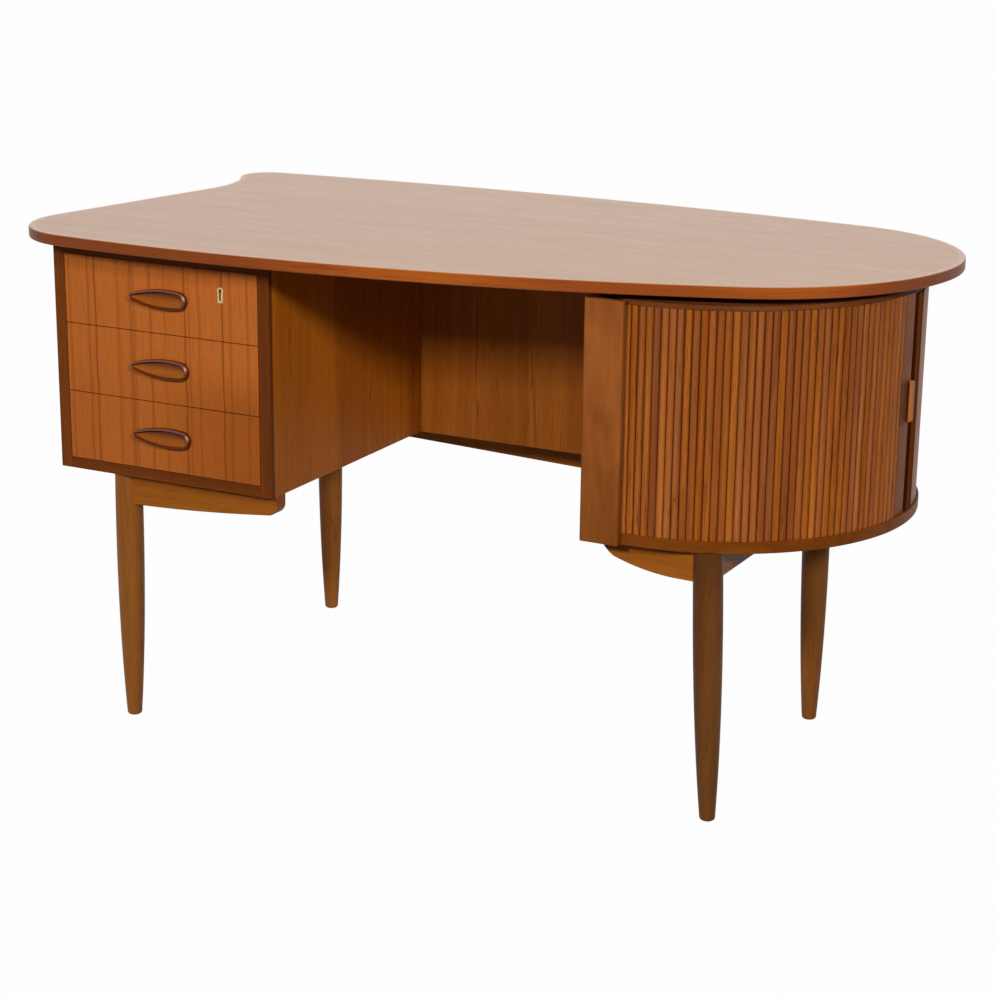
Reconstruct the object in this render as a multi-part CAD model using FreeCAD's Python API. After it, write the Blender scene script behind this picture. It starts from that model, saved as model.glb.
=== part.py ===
"""A free-standing kidney-shaped writing desk in teak.

A thin kidney top floats on battens above three carcasses: a pedestal of three drawers on the left, a
bookcase that opens to the back, and a round cabinet on the right with a sliding curtain of slats.
Four turned legs carry them. Millimetres, Z up. The plan is drawn from the front left corner of the
pedestal, and every piece is then moved so that the origin lies on the floor below the middle of the top.
"""

import FreeCAD, Part
import math
import os

Vector = FreeCAD.Vector
UP = Vector(0, 0, 1)

# Heights
desk_height = 727.0
top_thickness = 16.0
shadow_gap = 9.0
carcass_height = 326.0

# Plan of the top
top_length = 1268.0
overhang_left = 62.0
overhang_front = 54.0
lobe_radius = 122.0
front_bow_radius = 2153.0
shoulder_radius = 313.0
shoulder_turn = 4.0
end_radius = 238.5
back_bow_radius = 4407.0
tip_radius = 44.5
tip_overhang = 41.4
tip_from_back = 38.3
scoop_radius = 180.0
scoop_lean = 9.52
lipping_width = 10.0
lipping_round = 2.5
glue_gap = 0.05

# Boards of the carcasses
carcass_depth = 600.0
board = 18.0
bottom_board = 16.0
bookcase_shelf_board = 14.0
panel_board = 18.0
kneehole_depth = 428.0
batten_width = 30.0
batten_inset = 42.0

# Pedestal and its drawers
pedestal_width = 360.0
edging_depth = 8.0
pedestal_top_board = 11.0
drawer_names = ("lower", "middle", "upper")
drawer_gap = 1.2
drawer_side_gap = 1.0
drawer_front_board = 18.0
drawer_box_depth = 382.0
drawer_wall = 10.0
drawer_bottom_board = 4.0
drawer_box_rise = 8.0
drawer_box_headroom = 12.5
drawer_bottom_rise = 6.0
runner_height = 13.4
runner_rise = 38.0
runner_bite = 4.7
runner_clearance = 0.3
runner_front_gap = 2.0
box_to_side_gap = 6.0

# Carved pulls
pull_length = 95.0
pull_tip_radius = 6.0
pull_round_radius = 13.0
pull_side_radius = 190.0
pull_projection = 8.0
pull_lip = 3.5
pull_hollow_tip_radius = 2.5
pull_hollow_depth = 6.0
pull_edge_round = 2.0

# Lock of the top drawer
lock_from_right = 60.0
lock_below_top = 34.5
escutcheon_width = 10.6
escutcheon_height = 22.0
escutcheon_thickness = 1.2
keyhole_radius = 2.4
keyhole_below_rim = 5.0
keyhole_slot_width = 2.8
keyhole_slot_length = 13.5
keyhole_into_case = 5.0
lock_case_width = 40.0
lock_case_height = 46.0
lock_case_depth = 9.0
bolt_width = 16.0
bolt_thickness = 4.0
bolt_length = 24.0
bolt_throw = 7.0
bolt_clearance = 0.3

# Round cabinet
cabinet_setback_x = 87.5
cabinet_setback_y = 32.0
rim_radius = 289.0
cabinet_back_cut = 24.0
cabinet_left_reach = 66.0
cabinet_top_board = 10.0
stile_width = 55.0
stile_proud = 11.0
stile_flange = 10.0
stile_block_width = 24.0
stile_block_depth = 30.0
stile_round = 3.5
stile_outer_round = 4.0
curved_wall = 12.0
curved_wall_inset = 4.0
rear_stile_width = 32.0
cabinet_shelf_board = 14.0
cabinet_shelf_rise = 150.0
cabinet_shelf_gap = 16.0

# Curtain of slats
slat_inset = 4.0
slat_pitch = 10.4
slat_gap = 0.25
slat_thickness = 6.5
slat_crown = 4.0
canvas_thickness = 0.8
groove_depth = 4.0
groove_clearance = 0.5
slat_end_clearance = 0.4
curtain_hidden = 4.0
curtain_closing_angle = -2.4
rear_stile_gap = 2.0
lead_slat_count = 5
lead_strip_slats = 3
lead_strip_setback = 1.0
lead_strip_round = 1.5
curtain_pull_height = 57.0
curtain_pull_width = 8.5
curtain_pull_projection = 6.0
curtain_pull_rise = 155.5
curtain_pull_round = 3.0

# Legs and base
leg_top_radius = 19.6
leg_swell_radius = 20.0
leg_swell_height = 270.0
leg_calf_radius = 17.7
leg_calf_height = 140.0
leg_foot_radius = 10.8
leg_foot_round = 4.0
leg_foot_trim = 0.3
leg_over_length = 1.5
left_leg_x = 100.2
left_leg_front = 24.0
left_leg_rear = 19.0
rear_left_leg_offset = 3.4
right_leg_offset_x = 98.6
right_leg_front_inset = 36.0
right_leg_rear_inset = 134.0
rear_right_leg_offset = 7.3
front_left_splay = 3.5
front_right_splay = 15.8
front_right_kick = 6.0
rear_right_splay = 4.2
rail_thickness = 24.0
bracket_depth = 46.0
bracket_end_depth = 29.0
bracket_end_round = 16.0
wing_length = 149.6
wing_depth = 43.5
wing_toe = ((6.0, 13.3), (20.0, 25.5))
wing_sweep = ((62.0, 37.2), (105.0, 42.5))
side_rail_depth = 41.3
stretcher_depth = 49.0

# Levels worked out from the heights
top_underside = desk_height - top_thickness
carcass_top = top_underside - shadow_gap
carcass_bottom = carcass_top - carcass_height
floor_board_top = carcass_bottom + bottom_board
drawer_field_top = carcass_top - pedestal_top_board
cabinet_ceiling = carcass_top - cabinet_top_board

# Places in plan
end_centre_x = top_length - overhang_left - end_radius
cabinet_centre = Vector(end_centre_x - cabinet_setback_x, carcass_depth + cabinet_back_cut - rim_radius, 0)
end_centre = cabinet_centre + Vector(cabinet_setback_x, cabinet_setback_y, 0)
cabinet_left = cabinet_centre.x - cabinet_left_reach
stile_front = cabinet_centre.y - rim_radius - stile_proud
panel_back = kneehole_depth + panel_board
slat_outer = rim_radius - slat_inset
slat_inner = slat_outer - slat_thickness
curtain_inner = slat_inner - canvas_thickness
bookcase_right = cabinet_left
rear_board_front = carcass_depth - board


def box(x0, x1, y0, y1, z0, z1):
    """A block between two corners."""
    return Part.makeBox(x1 - x0, y1 - y0, z1 - z0, Vector(x0, y0, z0))


def polar(centre, radius, degrees):
    """The point at that radius and angle from a centre, in plan."""
    angle = math.radians(degrees)
    return centre + Vector(radius * math.cos(angle), radius * math.sin(angle), 0)


def bearing(start, end):
    """The angle in plan, in degrees, of the way from one point to another."""
    return math.degrees(math.atan2(end.y - start.y, end.x - start.x))


def prism(wire, z0, z1):
    """A flat outline drawn at height 0, raised between two levels."""
    solid = Part.Face(wire).extrude(UP * (z1 - z0))
    solid.translate(UP * z0)
    return solid


def arc_edge(centre, radius, start, end):
    """An arc in plan from one angle to another, the shorter way if they are given so."""
    middle = (start + end) / 2
    points = [polar(centre, radius, angle) for angle in (start, middle, end)]
    return Part.Arc(*points).toShape()


def enclosing_centre(first, first_radius, second, second_radius, radius, side):
    """The centre of a circle that two smaller circles touch from inside. Side 1 lies left of their line."""
    first_reach = radius - first_radius
    second_reach = radius - second_radius
    span = second - first
    along = (span.Length ** 2 + first_reach ** 2 - second_reach ** 2) / (2 * span.Length)
    across = math.sqrt(first_reach ** 2 - along ** 2)
    ahead = span / span.Length
    return first + ahead * along + Vector(-ahead.y, ahead.x, 0) * (across * side)


def ring_sector(inner, outer, start, end, z0, z1):
    """Part of a ring about the cabinet's centre."""
    near = arc_edge(cabinet_centre, inner, start, end)
    far = arc_edge(cabinet_centre, outer, start, end)
    first = Part.makeLine(polar(cabinet_centre, inner, start), polar(cabinet_centre, outer, start))
    last = Part.makeLine(polar(cabinet_centre, inner, end), polar(cabinet_centre, outer, end))
    return prism(Part.Wire(Part.__sortEdges__([near, last, far, first])), z0, z1)


def largest(shape):
    """The largest solid that a cut leaves."""
    return max(shape.Solids, key=lambda solid: solid.Volume)


def level_edges(solid, z):
    """The edges of a solid that lie at one level."""
    return [edge for edge in solid.Edges if all(abs(vertex.Z - z) < 1e-6 for vertex in edge.Vertexes)]


def upright_edges(solid, x, y):
    """The upright edges of a solid that stand on one point of the plan."""
    places = [edge for edge in solid.Edges if edge.BoundBox.ZLength > 1]
    return [e for e in places if all(abs(v.X - x) + abs(v.Y - y) < 1e-6 for v in e.Vertexes)]


# The kidney outline is seven tangent arcs and one line, each an arc as (centre, radius, start, end, bulge).
lobe_centre = Vector(lobe_radius - overhang_left, lobe_radius - overhang_front, 0)
tip_centre = Vector(tip_radius - tip_overhang, carcass_depth - tip_from_back, 0)
shoulder_centre = polar(end_centre, end_radius - shoulder_radius, -shoulder_turn)
front_centre = enclosing_centre(lobe_centre, lobe_radius, shoulder_centre, shoulder_radius,
                                front_bow_radius, 1)
back_centre = enclosing_centre(end_centre, end_radius, tip_centre, tip_radius, back_bow_radius, 1)
lean_along = Vector(math.sin(math.radians(scoop_lean)), math.cos(math.radians(scoop_lean)), 0)
lean_out = Vector(-lean_along.y, lean_along.x, 0)
scoop_base = lobe_centre + lean_out * (lobe_radius + scoop_radius)
scoop_reach = tip_centre - scoop_base
scoop_slide = scoop_reach.dot(lean_along)
scoop_slide -= math.sqrt((scoop_radius + tip_radius) ** 2 - scoop_reach.dot(lean_out) ** 2)
scoop_centre = scoop_base + lean_along * scoop_slide


def outline_arcs():
    """The arcs of the top's edge, anticlockwise from the front left, without the straight stretch."""
    front_start = bearing(front_centre, lobe_centre)
    front_end = bearing(front_centre, shoulder_centre)
    back_start = bearing(back_centre, end_centre)
    back_end = bearing(back_centre, tip_centre)
    tip_end = bearing(tip_centre, scoop_centre) % 360
    line_angle = bearing(Vector(), lean_out)
    scoop_end = line_angle - 180
    scoop_start = bearing(scoop_centre, tip_centre)
    lobe_end = front_start % 360
    return [
        (front_centre, front_bow_radius, front_start, front_end, 1),
        (shoulder_centre, shoulder_radius, front_end, -shoulder_turn, 1),
        (end_centre, end_radius, -shoulder_turn, back_start, 1),
        (back_centre, back_bow_radius, back_start, back_end, 1),
        (tip_centre, tip_radius, back_end, tip_end, 1),
        (scoop_centre, scoop_radius, scoop_start, scoop_end, -1),
        (lobe_centre, lobe_radius, line_angle, lobe_end, 1),
    ]


def top_outline(inset):
    """The top's edge, drawn in by a distance."""
    edges = [arc_edge(c, radius - inset * bulge, a, b) for c, radius, a, b, bulge in outline_arcs()]
    scoop_foot = edges[-2].valueAt(edges[-2].LastParameter)
    lobe_foot = edges[-1].valueAt(edges[-1].FirstParameter)
    edges.insert(-1, Part.makeLine(scoop_foot, lobe_foot))
    return Part.Wire(edges)


top_left = lobe_centre.x - lobe_radius
top_right = end_centre.x + end_radius
top_front = front_centre.y - front_bow_radius
top_back = back_centre.y + back_bow_radius
to_origin = Vector(-(top_left + top_right) / 2, -(top_front + top_back) / 2, 0)


def save(name, *solids):
    """Writes one named piece, moved so that the origin is below the middle of the top."""
    shape = solids[0].copy() if len(solids) == 1 else Part.makeCompound([s.copy() for s in solids])
    shape.translate(to_origin)
    shape.exportStep("parts/" + name + ".step")


def make_top():
    """The veneered panel and the solid lipping round it."""
    panel = prism(top_outline(lipping_width + glue_gap), top_underside, desk_height)
    lipping = prism(top_outline(0), top_underside, desk_height)
    rims = level_edges(lipping, desk_height) + level_edges(lipping, top_underside)
    lipping = lipping.makeFillet(lipping_round, rims)
    lipping = lipping.cut(prism(top_outline(lipping_width), top_underside, desk_height))
    save("desktop_panel", panel)
    save("desktop_lipping", lipping.Solids[0])


def make_battens():
    """Battens, set well back from the edges, that hold the top above the carcasses."""
    pedestal_last = pedestal_width - batten_inset
    cabinet_first = cabinet_left + batten_inset
    cabinet_reach = rim_radius - batten_inset - batten_width
    cabinet_last = cabinet_centre.x + cabinet_reach / math.sqrt(2)
    half = cabinet_reach / math.sqrt(2)
    rows = [
        ("batten_pedestal_left", batten_inset, batten_inset, carcass_depth - batten_inset),
        ("batten_pedestal_right", pedestal_last - batten_width, batten_inset, kneehole_depth - batten_inset),
        ("batten_cabinet_left", cabinet_first, cabinet_centre.y - half, carcass_depth - batten_inset),
        ("batten_cabinet_right", cabinet_last, cabinet_centre.y - half, cabinet_centre.y + half),
    ]
    for name, x, y0, y1 in rows:
        save(name, box(x, x + batten_width, y0, y1, carcass_top, top_underside))


def make_pedestal():
    """The drawer pedestal's boards, its dark front edging and its back."""
    inner_right = pedestal_width - board
    save("pedestal_side_left", box(0, board, edging_depth, carcass_depth, carcass_bottom, carcass_top))
    save("pedestal_side_right",
         box(inner_right, pedestal_width, edging_depth, kneehole_depth, carcass_bottom, carcass_top))
    save("pedestal_bottom",
         box(board, inner_right, edging_depth, kneehole_depth, carcass_bottom, floor_board_top))
    save("pedestal_edging_left", box(0, board, 0, edging_depth, carcass_bottom, carcass_top))
    save("pedestal_edging_right",
         box(inner_right, pedestal_width, 0, edging_depth, carcass_bottom, carcass_top))
    save("pedestal_edging_bottom", box(board, inner_right, 0, edging_depth, carcass_bottom, floor_board_top))
    save("pedestal_edging_top", box(board, inner_right, 0, edging_depth, drawer_field_top, carcass_top))
    top = box(board, inner_right, edging_depth, kneehole_depth, drawer_field_top, carcass_top)
    save("pedestal_top", top.cut(bolt_block(bolt_clearance, bolt_throw + bolt_clearance)))
    save("pedestal_back", box(board, pedestal_width, kneehole_depth, panel_back, carcass_bottom, carcass_top))


def make_bookcase():
    """The bookcase behind the kneehole and the drawers: it opens to the back."""
    upper = carcass_top - bottom_board
    middle = (board + bookcase_right) / 2
    divider_left = middle - board / 2
    divider_right = middle + board / 2
    shelf_floor = (floor_board_top + upper - bookcase_shelf_board) / 2
    shelf_top = shelf_floor + bookcase_shelf_board
    save("modesty_panel",
         box(pedestal_width, bookcase_right, kneehole_depth, panel_back, carcass_bottom, carcass_top))
    save("bookcase_bottom",
         box(board, bookcase_right, panel_back, carcass_depth, carcass_bottom, floor_board_top))
    save("bookcase_top", box(board, bookcase_right, panel_back, carcass_depth, upper, carcass_top))
    save("bookcase_divider",
         box(divider_left, divider_right, panel_back, carcass_depth, floor_board_top, upper))
    save("bookcase_shelf_left",
         box(board, divider_left, panel_back, carcass_depth, shelf_floor, shelf_top))
    save("bookcase_shelf_right",
         box(divider_right, bookcase_right, panel_back, carcass_depth, shelf_floor, shelf_top))


# Drawers stand one above the other in the pedestal's opening.
drawer_left = board + drawer_side_gap
drawer_right = pedestal_width - board - drawer_side_gap
drawer_count = len(drawer_names)
drawer_pitch = (drawer_field_top - floor_board_top) / drawer_count
drawer_front_height = drawer_pitch - drawer_gap
drawer_box_height = drawer_front_height - drawer_box_rise - drawer_box_headroom
box_left = board + box_to_side_gap
box_right = pedestal_width - board - box_to_side_gap
box_back = drawer_front_board + drawer_box_depth
lock_x = pedestal_width - board - lock_from_right
lock_z = drawer_field_top - lock_below_top
bolt_y = drawer_front_board + (lock_case_depth - bolt_thickness) / 2
bolt_top = drawer_field_top - drawer_gap


def drawer_floor(index):
    """The level of a drawer front's lower edge, counted from the lowest drawer."""
    return floor_board_top + index * drawer_pitch + drawer_gap / 2


def bolt_block(clearance, throw):
    """The lock's bolt, or the room that it slides in."""
    half = bolt_width / 2 + clearance
    return box(lock_x - half, lock_x + half, bolt_y - clearance, bolt_y + bolt_thickness + clearance,
               bolt_top - bolt_length - clearance, bolt_top + throw)


def keyhole():
    """The way for the key, from the keyhole plate through the top drawer's front into the lock case."""
    eye_z = lock_z + escutcheon_height / 2 - keyhole_below_rim
    depth = escutcheon_thickness + drawer_front_board + keyhole_into_case
    slot_half = keyhole_slot_width / 2
    foot_z = eye_z - keyhole_slot_length + slot_half
    far = depth - escutcheon_thickness
    way = box(lock_x - slot_half, lock_x + slot_half, -escutcheon_thickness, far, foot_z, eye_z)
    for radius, z in ((keyhole_radius, eye_z), (slot_half, foot_z)):
        start = Vector(lock_x, -escutcheon_thickness, z)
        way = way.fuse(Part.makeCylinder(radius, depth, start, Vector(0, 1, 0)))
    return way


def runner(index, mirrored, start, clearance):
    """A runner on the pedestal's side, or the groove for it in a drawer's side, from a start in depth."""
    z0 = drawer_floor(index) + drawer_box_rise + runner_rise
    wall = board
    reach = board + box_to_side_gap + runner_bite
    if mirrored:
        wall = pedestal_width - board
        reach = pedestal_width - reach
        clearance_x = -clearance
    else:
        clearance_x = clearance
    low, high = sorted((wall, reach + clearance_x))
    return box(low, high, start, box_back, z0 - clearance, z0 + runner_height + clearance)


def teardrop(inset, small_radius, centre_x, z):
    """A pull's outline on the drawer front, drawn in: a small tip, a broad round end and two bowed sides."""
    broad_radius = pull_round_radius - inset
    side_radius = pull_side_radius - inset
    tip = Vector(centre_x - pull_length / 2 + inset + small_radius, z, 0)
    broad = Vector(centre_x + pull_length / 2 - pull_round_radius, z, 0)
    lower = enclosing_centre(tip, small_radius, broad, broad_radius, side_radius, 1)
    upper = enclosing_centre(broad, broad_radius, tip, small_radius, side_radius, 1)
    below_tip = bearing(lower, tip)
    below_broad = bearing(lower, broad)
    above_broad = bearing(upper, broad)
    above_tip = bearing(upper, tip)
    edges = [
        arc_edge(lower, side_radius, below_tip, below_broad),
        arc_edge(broad, broad_radius, below_broad, above_broad),
        arc_edge(upper, side_radius, above_broad, above_tip),
        arc_edge(tip, small_radius, above_tip, below_tip % 360),
    ]
    return Part.Wire(edges)


def make_pull(centre_x, z):
    """A carved pull: a teardrop block with rounded rim, hollowed from the front for the fingers."""
    block = prism(teardrop(0, pull_tip_radius, centre_x, z), 0, pull_projection)
    hollow_outline = teardrop(pull_lip, pull_hollow_tip_radius, centre_x, z)
    hollow = prism(hollow_outline, pull_projection - pull_hollow_depth, pull_projection)
    block = block.makeFillet(pull_edge_round, level_edges(block, pull_projection))
    block = block.cut(hollow)
    block.rotate(Vector(0, 0, 0), Vector(1, 0, 0), 90)
    return block


def make_drawer(index):
    """One drawer: veneered front, three box walls, a thin bottom and its pull."""
    name = "drawer_" + drawer_names[index]
    z0 = drawer_floor(index)
    z1 = z0 + drawer_front_height
    front = box(drawer_left, drawer_right, 0, drawer_front_board, z0, z1)
    if index == drawer_count - 1:
        front = front.cut(keyhole())
    wall_low = z0 + drawer_box_rise
    wall_high = wall_low + drawer_box_height
    bottom_low = wall_low + drawer_bottom_rise
    bottom_high = bottom_low + drawer_bottom_board
    inside_left = box_left + drawer_wall
    inside_right = box_right - drawer_wall
    left = box(box_left, inside_left, drawer_front_board, box_back, wall_low, wall_high)
    right = box(inside_right, box_right, drawer_front_board, box_back, wall_low, wall_high)
    left = left.cut(runner(index, False, drawer_front_board, runner_clearance))
    right = right.cut(runner(index, True, drawer_front_board, runner_clearance))
    back = box(inside_left, inside_right, box_back - drawer_wall, box_back, bottom_high, wall_high)
    bottom = box(inside_left, inside_right, drawer_front_board, box_back, bottom_low, bottom_high)
    save(name + "_front", front)
    save(name + "_walls", left, right, back)
    save(name + "_bottom", bottom)
    save(name + "_pull", make_pull((drawer_left + drawer_right) / 2, (z0 + z1) / 2))


def make_runners():
    """The runners that the drawers hang on, three to a side."""
    start = drawer_front_board + runner_front_gap
    for side, mirrored in (("left", False), ("right", True)):
        save("runners_" + side, *[runner(index, mirrored, start, 0) for index in range(drawer_count)])


def make_lock():
    """The top drawer's keyhole plate, its lock case and the bolt that rises into the pedestal's top."""
    half = escutcheon_width / 2
    straight = escutcheon_height / 2 - half
    plate = box(lock_x - half, lock_x + half, -escutcheon_thickness, 0, lock_z - straight, lock_z + straight)
    for z in (lock_z - straight, lock_z + straight):
        end = Part.makeCylinder(half, escutcheon_thickness, Vector(lock_x, 0, z), Vector(0, -1, 0))
        plate = plate.fuse(end)
    plate = plate.removeSplitter().cut(keyhole())
    case_half = lock_case_width / 2
    case_back = drawer_front_board + lock_case_depth
    case = box(lock_x - case_half, lock_x + case_half, drawer_front_board, case_back,
               bolt_top - lock_case_height, bolt_top)
    save("escutcheon", plate.Solids[0])
    save("lock_case", case.cut(bolt_block(bolt_clearance, bolt_throw)).cut(keyhole()))
    save("lock_bolt", bolt_block(0, 0))


def front_stile():
    """The cabinet's front stile: a wide flange that hides the curtain's end, and a block that carries it."""
    right = cabinet_left + stile_width
    flange_back = stile_front + stile_flange
    block_right = cabinet_left + stile_block_width
    flange = box(cabinet_left, right, stile_front, flange_back, carcass_bottom, carcass_top)
    block_back = flange_back + stile_block_depth
    block = box(cabinet_left, block_right, flange_back, block_back, carcass_bottom, carcass_top)
    stile = flange.fuse(block).removeSplitter()
    stile = stile.makeFillet(stile_round, upright_edges(stile, cabinet_left, stile_front))
    return stile.makeFillet(stile_outer_round, upright_edges(stile, right, stile_front))


# The curtain runs from behind the front stile to the rear stile.
curtain_start_x = cabinet_left + stile_block_width + curtain_hidden
curtain_start_angle = -90 - math.degrees(math.asin((cabinet_centre.x - curtain_start_x) / slat_outer))
curtain_span = curtain_closing_angle - curtain_start_angle
slat_count = round(math.radians(curtain_span) * slat_outer / slat_pitch)
slat_step = curtain_span / slat_count
curtain_floor = floor_board_top - groove_depth + slat_end_clearance
curtain_ceiling = cabinet_ceiling + groove_depth - slat_end_clearance
lead_angle = curtain_closing_angle - lead_slat_count * slat_step
rear_stile_angle = curtain_closing_angle + math.degrees(rear_stile_gap / slat_outer)
rear_stile_end = rear_stile_angle + math.degrees(rear_stile_width / slat_outer)


def round_board(z0, z1):
    """The cabinet's floor or ceiling: a disc cut off at the left and the back, notched for the stile."""
    disc = Part.makeCylinder(rim_radius, z1 - z0, cabinet_centre + UP * z0)
    cover = box(cabinet_left, top_right, stile_front, carcass_depth, z0, z1)
    return disc.common(cover).cut(front_stile())


def curtain_groove(z0, z1):
    """The groove that the slats' ends run in."""
    inner = curtain_inner - groove_clearance
    outer = slat_outer + groove_clearance
    over_run = math.degrees(slat_pitch / slat_outer)
    return ring_sector(inner, outer, curtain_start_angle - over_run, rear_stile_angle, z0, z1)


def make_cabinet():
    """The round cabinet's boards, its two stiles and its shelf."""
    floor = round_board(carcass_bottom, floor_board_top)
    ceiling = round_board(cabinet_ceiling, carcass_top)
    save("cabinet_bottom", floor.cut(curtain_groove(floor_board_top - groove_depth, floor_board_top)))
    save("cabinet_top", ceiling.cut(curtain_groove(cabinet_ceiling, cabinet_ceiling + groove_depth)))
    save("front_stile", front_stile())
    wall_front = stile_front + stile_flange + stile_block_depth
    wall_right = cabinet_left + board
    save("cabinet_side",
         box(cabinet_left, wall_right, wall_front, carcass_depth, floor_board_top, cabinet_ceiling))
    outer = rim_radius - curved_wall_inset
    inner = outer - curved_wall
    save("rear_stile",
         ring_sector(inner, outer, rear_stile_angle, rear_stile_end, floor_board_top, cabinet_ceiling))
    wall_end = math.degrees(math.asin((carcass_depth - cabinet_centre.y) / inner))
    wall = ring_sector(inner, outer, rear_stile_end, wall_end, floor_board_top, cabinet_ceiling)
    yard = box(wall_right, top_right, stile_front, carcass_depth, floor_board_top, cabinet_ceiling)
    save("curved_wall", wall.common(yard))
    wall_foot = cabinet_centre + UP * floor_board_top
    core = Part.makeCylinder(inner - glue_gap, cabinet_ceiling - floor_board_top, wall_foot)
    rear = box(wall_right, top_right, rear_board_front, carcass_depth, floor_board_top, cabinet_ceiling)
    save("cabinet_back", rear.common(core))
    shelf_z = floor_board_top + cabinet_shelf_rise
    shelf_radius = curtain_inner - cabinet_shelf_gap
    disc = Part.makeCylinder(shelf_radius, cabinet_shelf_board, cabinet_centre + UP * shelf_z)
    room = box(wall_right, top_right, stile_front, rear_board_front, shelf_z, shelf_z + cabinet_shelf_board)
    save("cabinet_shelf", disc.common(room))


def slat(index):
    """One slat, counted from the closing edge: flat behind, crowned in front."""
    half = math.radians(slat_step) * slat_outer / 2 - slat_gap / 2
    shoulder = slat_outer - slat_crown
    corners = [
        Vector(slat_inner, -half, 0),
        Vector(shoulder, -half, 0),
        Vector(slat_outer, 0, 0),
        Vector(shoulder, half, 0),
        Vector(slat_inner, half, 0),
    ]
    edges = [
        Part.makeLine(corners[0], corners[1]),
        Part.Arc(corners[1], corners[2], corners[3]).toShape(),
        Part.makeLine(corners[3], corners[4]),
        Part.makeLine(corners[4], corners[0]),
    ]
    solid = prism(Part.Wire(edges), curtain_floor, curtain_ceiling)
    angle = curtain_closing_angle - (index + 0.5) * slat_step
    solid.rotate(Vector(0, 0, 0), UP, angle)
    solid.translate(cabinet_centre)
    return solid


def lead_strip(margin):
    """The flat strip at the closing edge, as wide as a few slats. It carries the pull."""
    outer = slat_outer - lead_strip_setback
    start = curtain_closing_angle - lead_strip_slats * slat_step + margin
    end = curtain_closing_angle - margin
    strip = ring_sector(slat_inner, outer, start, end, curtain_floor, curtain_ceiling)
    upright = [e for e in strip.Edges if e.BoundBox.ZLength > slat_thickness]
    front = [e for e in upright if math.hypot(*(e.CenterOfMass - cabinet_centre)[:2]) > outer - 0.01]
    return strip.makeFillet(lead_strip_round, front)


def make_curtain():
    """The curtain: its leading strip and slats turn as one, and the rest follow in the groove."""
    margin = math.degrees(slat_gap / slat_outer) / 2
    strip = lead_strip(margin)
    lead = [slat(index) for index in range(lead_strip_slats, lead_slat_count)]
    trail = [slat(index) for index in range(lead_slat_count, slat_count)]
    save("curtain_lead_slats", strip, *lead)
    low = floor_board_top + slat_end_clearance
    high = cabinet_ceiling - slat_end_clearance
    lead_span = (lead_angle + margin, curtain_closing_angle - margin)
    trail_span = (curtain_start_angle + margin, lead_angle - margin)
    save("curtain_lead_canvas", ring_sector(curtain_inner, slat_inner, *lead_span, low, high))
    save("curtain_trail_slats", *trail)
    save("curtain_trail_canvas", ring_sector(curtain_inner, slat_inner, *trail_span, low, high))
    z0 = floor_board_top + curtain_pull_rise - curtain_pull_height / 2
    half = curtain_pull_width / 2
    reach = slat_outer + curtain_pull_projection
    tab = box(slat_outer - slat_crown, reach, -half, half, z0, z0 + curtain_pull_height)
    rim = [e for e in tab.Edges if all(abs(v.X - reach) < 1e-6 for v in e.Vertexes)]
    tab = tab.makeFillet(curtain_pull_round, [e for e in rim if e.BoundBox.YLength > 1])
    tab.rotate(Vector(0, 0, 0), UP, curtain_closing_angle - slat_step / 2)
    tab.translate(cabinet_centre)
    save("curtain_pull", largest(tab.cut(strip)))


def leg(top, foot):
    """A turned leg: it swells near its top, tapers to a round foot and leans. Its ends are cut level."""
    over = carcass_bottom + leg_over_length
    profile = Part.BSplineCurve()
    profile.interpolate([
        Vector(leg_foot_radius, 0, leg_foot_round),
        Vector(leg_calf_radius, 0, leg_calf_height),
        Vector(leg_swell_radius, 0, leg_swell_height),
        Vector(leg_top_radius, 0, carcass_bottom),
    ])
    flat = leg_foot_radius - leg_foot_round
    bend = leg_foot_round * (1 - math.sqrt(0.5))
    rounding = Part.Arc(Vector(flat, 0, 0), Vector(leg_foot_radius - bend, 0, bend),
                        Vector(leg_foot_radius, 0, leg_foot_round))
    edges = [
        Part.makeLine(Vector(0, 0, 0), Vector(flat, 0, 0)),
        rounding.toShape(),
        profile.toShape(),
        Part.makeLine(Vector(leg_top_radius, 0, carcass_bottom), Vector(leg_top_radius, 0, over)),
        Part.makeLine(Vector(leg_top_radius, 0, over), Vector(0, 0, over)),
        Part.makeLine(Vector(0, 0, over), Vector(0, 0, 0)),
    ]
    solid = Part.Face(Part.Wire(edges)).revolve(Vector(0, 0, 0), UP, 360)
    solid.translate(UP * -leg_foot_trim)
    lean = FreeCAD.Rotation(UP, top + UP * carcass_bottom - foot)
    solid.Placement = FreeCAD.Placement(foot, lean).multiply(solid.Placement)
    reach = 2 * leg_swell_radius + (top - foot).Length
    room = box(foot.x - reach, foot.x + reach, foot.y - reach, foot.y + reach, 0, carcass_bottom)
    return largest(solid.common(room))


# Where the legs meet the carcasses, in plan, and where their feet stand
rear_left_x = left_leg_x + rear_left_leg_offset
rear_right_x = right_leg_offset_x + rear_right_leg_offset
leg_tops = {
    "front_left": Vector(left_leg_x, left_leg_front, 0),
    "rear_left": Vector(rear_left_x, carcass_depth - left_leg_rear, 0),
    "front_right": cabinet_centre + Vector(right_leg_offset_x, right_leg_front_inset - rim_radius, 0),
    "rear_right": cabinet_centre + Vector(rear_right_x, rim_radius - right_leg_rear_inset, 0),
}
leg_feet = {
    "front_left": leg_tops["front_left"] + Vector(-front_left_splay, 0, 0),
    "rear_left": leg_tops["rear_left"],
    "front_right": leg_tops["front_right"] + Vector(front_right_splay, -front_right_kick, 0),
    "rear_right": leg_tops["rear_right"] + Vector(rear_right_splay, 0, 0),
}


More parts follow.
